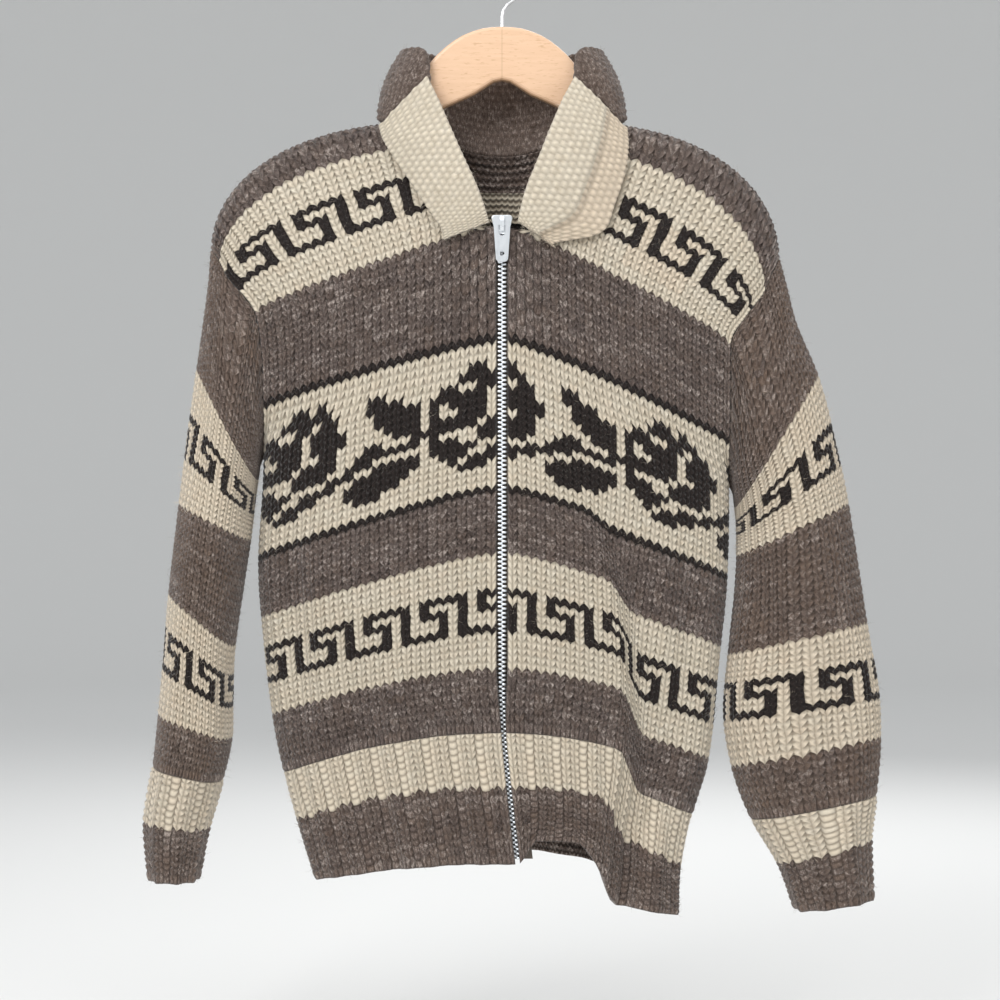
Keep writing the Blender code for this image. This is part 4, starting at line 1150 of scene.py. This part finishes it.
@cache
def woven_tape():
    paint = Paint("woven_zip_tape", Roughness=0.85, Sheen_Weight=0.2)
    x, _, z = paint.parts("SeparateXYZ", paint.place())
    twill = ((x * 5200.0 + z * 5200.0).sine() + (z * 9000.0).sine()) * 0.25 + 0.5
    paint.surface("Base Color", paint.mix(twill, (0.10, 0.08, 0.065), (0.17, 0.14, 0.115)))
    paint.relief(twill, 0.0003, 0.6)
    return paint.material


@cache
def zip_metal():
    paint = Paint("white_zip_metal", Metallic=1.0)
    cloud = paint.noise(420.0, 3.0, 0.55)
    scratch = paint.noise(900.0, 2.0, 0.5, (1.0, 1.0, 0.12))
    paint.surface("Base Color", paint.mix(cloud * 0.5, (0.90, 0.93, 0.96), (0.74, 0.78, 0.82)))
    paint.surface("Roughness", 0.24 + scratch * 0.2)
    paint.relief(scratch, 0.00015, 0.25)
    return paint.material


def beech():
    """Lacquered beech: pale, with fine brown flecks along the grain, and painted shade that darkens the
    faces turned downwards.
    """
    paint = Paint("lacquered_beech", Coat_Weight=0.35, Coat_Roughness=0.25)
    grain = paint.noise(34.0, 3.0, 0.55, (1.0, 2.0, 9.0))
    fleck = paint.noise(420.0, 2.0, 0.5, (0.35, 1.0, 2.4))
    across = paint.parts("SeparateXYZ", paint.place())[0]
    joint = (1.0 - across.abs() * 900.0).clamp()
    wood = paint.mix(grain, (0.78, 0.53, 0.355), (0.66, 0.42, 0.255))
    wood = paint.mix(((fleck - 0.60) * 8.0).clamp() * 0.55, wood, (0.47, 0.26, 0.12))
    wood = paint.mix(joint * 0.35, wood, (0.42, 0.25, 0.13))
    # Painted shade: faces that turn downwards are mixed towards a dark brown.
    upward = paint.parts("SeparateXYZ", paint.node("NewGeometry", {}, "Normal"))[2]
    down = (upward * -1.0).clamp()
    wood = paint.mix(down * 0.6, wood, (0.36, 0.19, 0.085))
    paint.surface("Base Color", wood)
    paint.surface("Roughness", 0.36 + grain * 0.2)
    paint.relief(grain * 0.5 + fleck * 0.5, 0.0002, 0.4)
    return paint.material


def hook_steel():
    paint = Paint("plated_wire", Metallic=1.0)
    cloud = paint.noise(300.0, 3.0, 0.55)
    paint.surface("Base Color", paint.mix(cloud, (0.62, 0.62, 0.62), (0.78, 0.78, 0.79)))
    paint.surface("Roughness", 0.22 + cloud * 0.25)
    return paint.material


def fuzz(name, starts, share, seed):
    """Loose fibres on the pieces whose names start so: each a bent, tapering hair."""
    rng = np.random.default_rng(seed)
    places, faces, tones = [], [], []
    for source, points, ups, shades in loose_ends:
        if not source.startswith(starts):
            continue
        count = int(len(points) * share)
        pick = rng.integers(0, len(points), count)
        root, up, tone = points[pick], ups[pick], shades[pick]
        length = np.clip(rng.gamma(2.2, 1.7, (count, 1)), 1.2, 9.5)
        lean = units(up * rng.uniform(0.35, 1.1, (count, 1)) + rng.normal(0, 0.75, (count, 3)))
        inward = np.sum(lean * up, axis=1, keepdims=True) < 0.05
        lean = units(np.where(inward, lean + up * 0.9, lean))
        bend = units(lean + rng.normal(0, 0.55, (count, 3)) + up * 0.1)
        wide = units(np.cross(lean, rng.normal(0, 1, (count, 3))))
        wide = wide * rng.uniform(0.055, 0.105, (count, 1))
        middle = root + lean * length * 0.5
        tip = middle + bend * length * 0.5
        start = sum(len(p) for p in places)
        narrow = wide * 0.8
        strand = np.stack([root - wide, root + wide, middle + narrow, middle - narrow, tip], axis=1)
        places.append(strand.reshape(-1, 3))
        first = start + np.arange(count)[:, None] * 5
        faces += (first + np.array((0, 1, 2, 3))).tolist()
        faces += (first + np.array((3, 2, 4))).tolist()
        tones += [tone, tone]
    piece = mesh_piece(name, np.concatenate(places) * MM, faces, loose_wool())
    paint_wool(piece.data, np.concatenate(tones))
    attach(piece, "garment")


# Lamps: name, place, side and power; the camera stands in front, level with the middle.
LAMPS = (
    ("key", (-1.3, -2.2, 0.9), 1.5, 50.0),
    ("fill", (1.8, -1.9, 0.2), 1.6, 13.0),
    ("top", (0.2, -0.5, 1.6), 1.5, 16.0),
    ("rim", (0.6, 1.8, 0.7), 1.6, 20.0),
)
CAMERA_PLACE = (-0.0018, -2.225, -0.4952)
CAMERA_LENS = 88.0


def stage():
    # A round floor with a low wall, rounded into it, so that no view shows a horizon.
    bpy.ops.mesh.primitive_cylinder_add(vertices=96, radius=8.0, depth=3.4, location=(0.0, 0.0, 0.68))
    floor = bpy.context.object
    floor.name = "floor"
    bpy.ops.object.transform_apply(location=True, rotation=True, scale=True)
    bpy.ops.object.mode_set(mode="EDIT")
    bpy.ops.mesh.select_mode(type="FACE")
    bpy.ops.mesh.select_all(action="DESELECT")
    bpy.ops.object.mode_set(mode="OBJECT")
    for face in floor.data.polygons:
        face.select = face.normal.z > 0.5
    bpy.ops.object.mode_set(mode="EDIT")
    bpy.ops.mesh.delete(type="FACE")
    bpy.ops.object.mode_set(mode="OBJECT")
    sweep = floor.modifiers.new("sweep", "BEVEL")
    sweep.width, sweep.segments = 3.0, 24
    bpy.ops.object.modifier_apply(modifier=sweep.name)
    floor.data.shade_smooth()
    paint = Paint("pale_floor", Roughness=0.95)
    paint.surface("Base Color", (0.80, 0.80, 0.79, 1.0))
    floor.data.materials.append(paint.material)
    world = bpy.data.worlds.new("studio")
    world.use_nodes = True
    world.node_tree.nodes["Background"].inputs[0].default_value = (0.93, 0.95, 0.97, 1.0)
    world.node_tree.nodes["Background"].inputs[1].default_value = 0.62
    bpy.context.scene.world = world
    for name, place, size, power in LAMPS:
        lamp = bpy.data.lights.new(name, "AREA")
        lamp.energy, lamp.size = power, size
        light = add_object(name, lamp)
        light.location = place
        light.rotation_euler = (Vector((0, 0, -0.45)) - Vector(place)).to_track_quat("-Z", "Y").to_euler()
    camera = bpy.data.cameras.new("camera")
    camera.lens, camera.sensor_width = CAMERA_LENS, 36.0
    eye = add_object("camera", camera)
    eye.location = CAMERA_PLACE
    eye.rotation_euler = (pi / 2, 0.0, 0.0)
    bpy.context.scene.camera = eye
    bpy.context.scene.view_settings.view_transform = "Standard"


stage()
for side, word in SIDES:
    dress(front(side, f"front_{word}_knit"))
dress(back("back_knit"))
for side, word in SIDES:
    rib = hem_rib(f"hem_rib_{word}_knit", FRONT, side)
    dress(rib)
dress(hem_rib("hem_rib_back_knit", BACK))
for side, word in SIDES:
    dress(sleeve(side, f"sleeve_{word}_knit"))
    dress(cuff(side, f"cuff_{word}_knit"))
    band = band_piece(f"lapel_{word}_knit", lapel_stations(side), COLLAR_CLOTH, LAPEL_RISE[side], 28,
                      LAPEL_CELLS[side], CREAM, 0.05, LAPEL_BORDER[side])
    dress(band)
    zip_tape(f"zip_tape_{word}_woven", side)
band = band_piece("collar_back_knit", collar_stations(), COLLAR_CLOTH, 0.0, 56, 12, GREY, 0.3)
dress(band)
zip_teeth("zip_teeth")
for name, material in (("zip_slider", zip_metal()), ("zip_pull_tab", zip_metal()),
                       ("hanger_wood", beech()), ("hanger_hook", hook_steel())):
    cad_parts[name].data.materials.clear()
    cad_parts[name].data.materials.append(material)
fuzz("wool_fuzz_front", ("front", "hem_rib_r", "hem_rib_l", "lapel"), 0.16, 3)
fuzz("wool_fuzz_back", ("back", "hem_rib_b", "collar"), 0.12, 4)
fuzz("wool_fuzz_sleeves", ("sleeve", "cuff"), 0.16, 6)
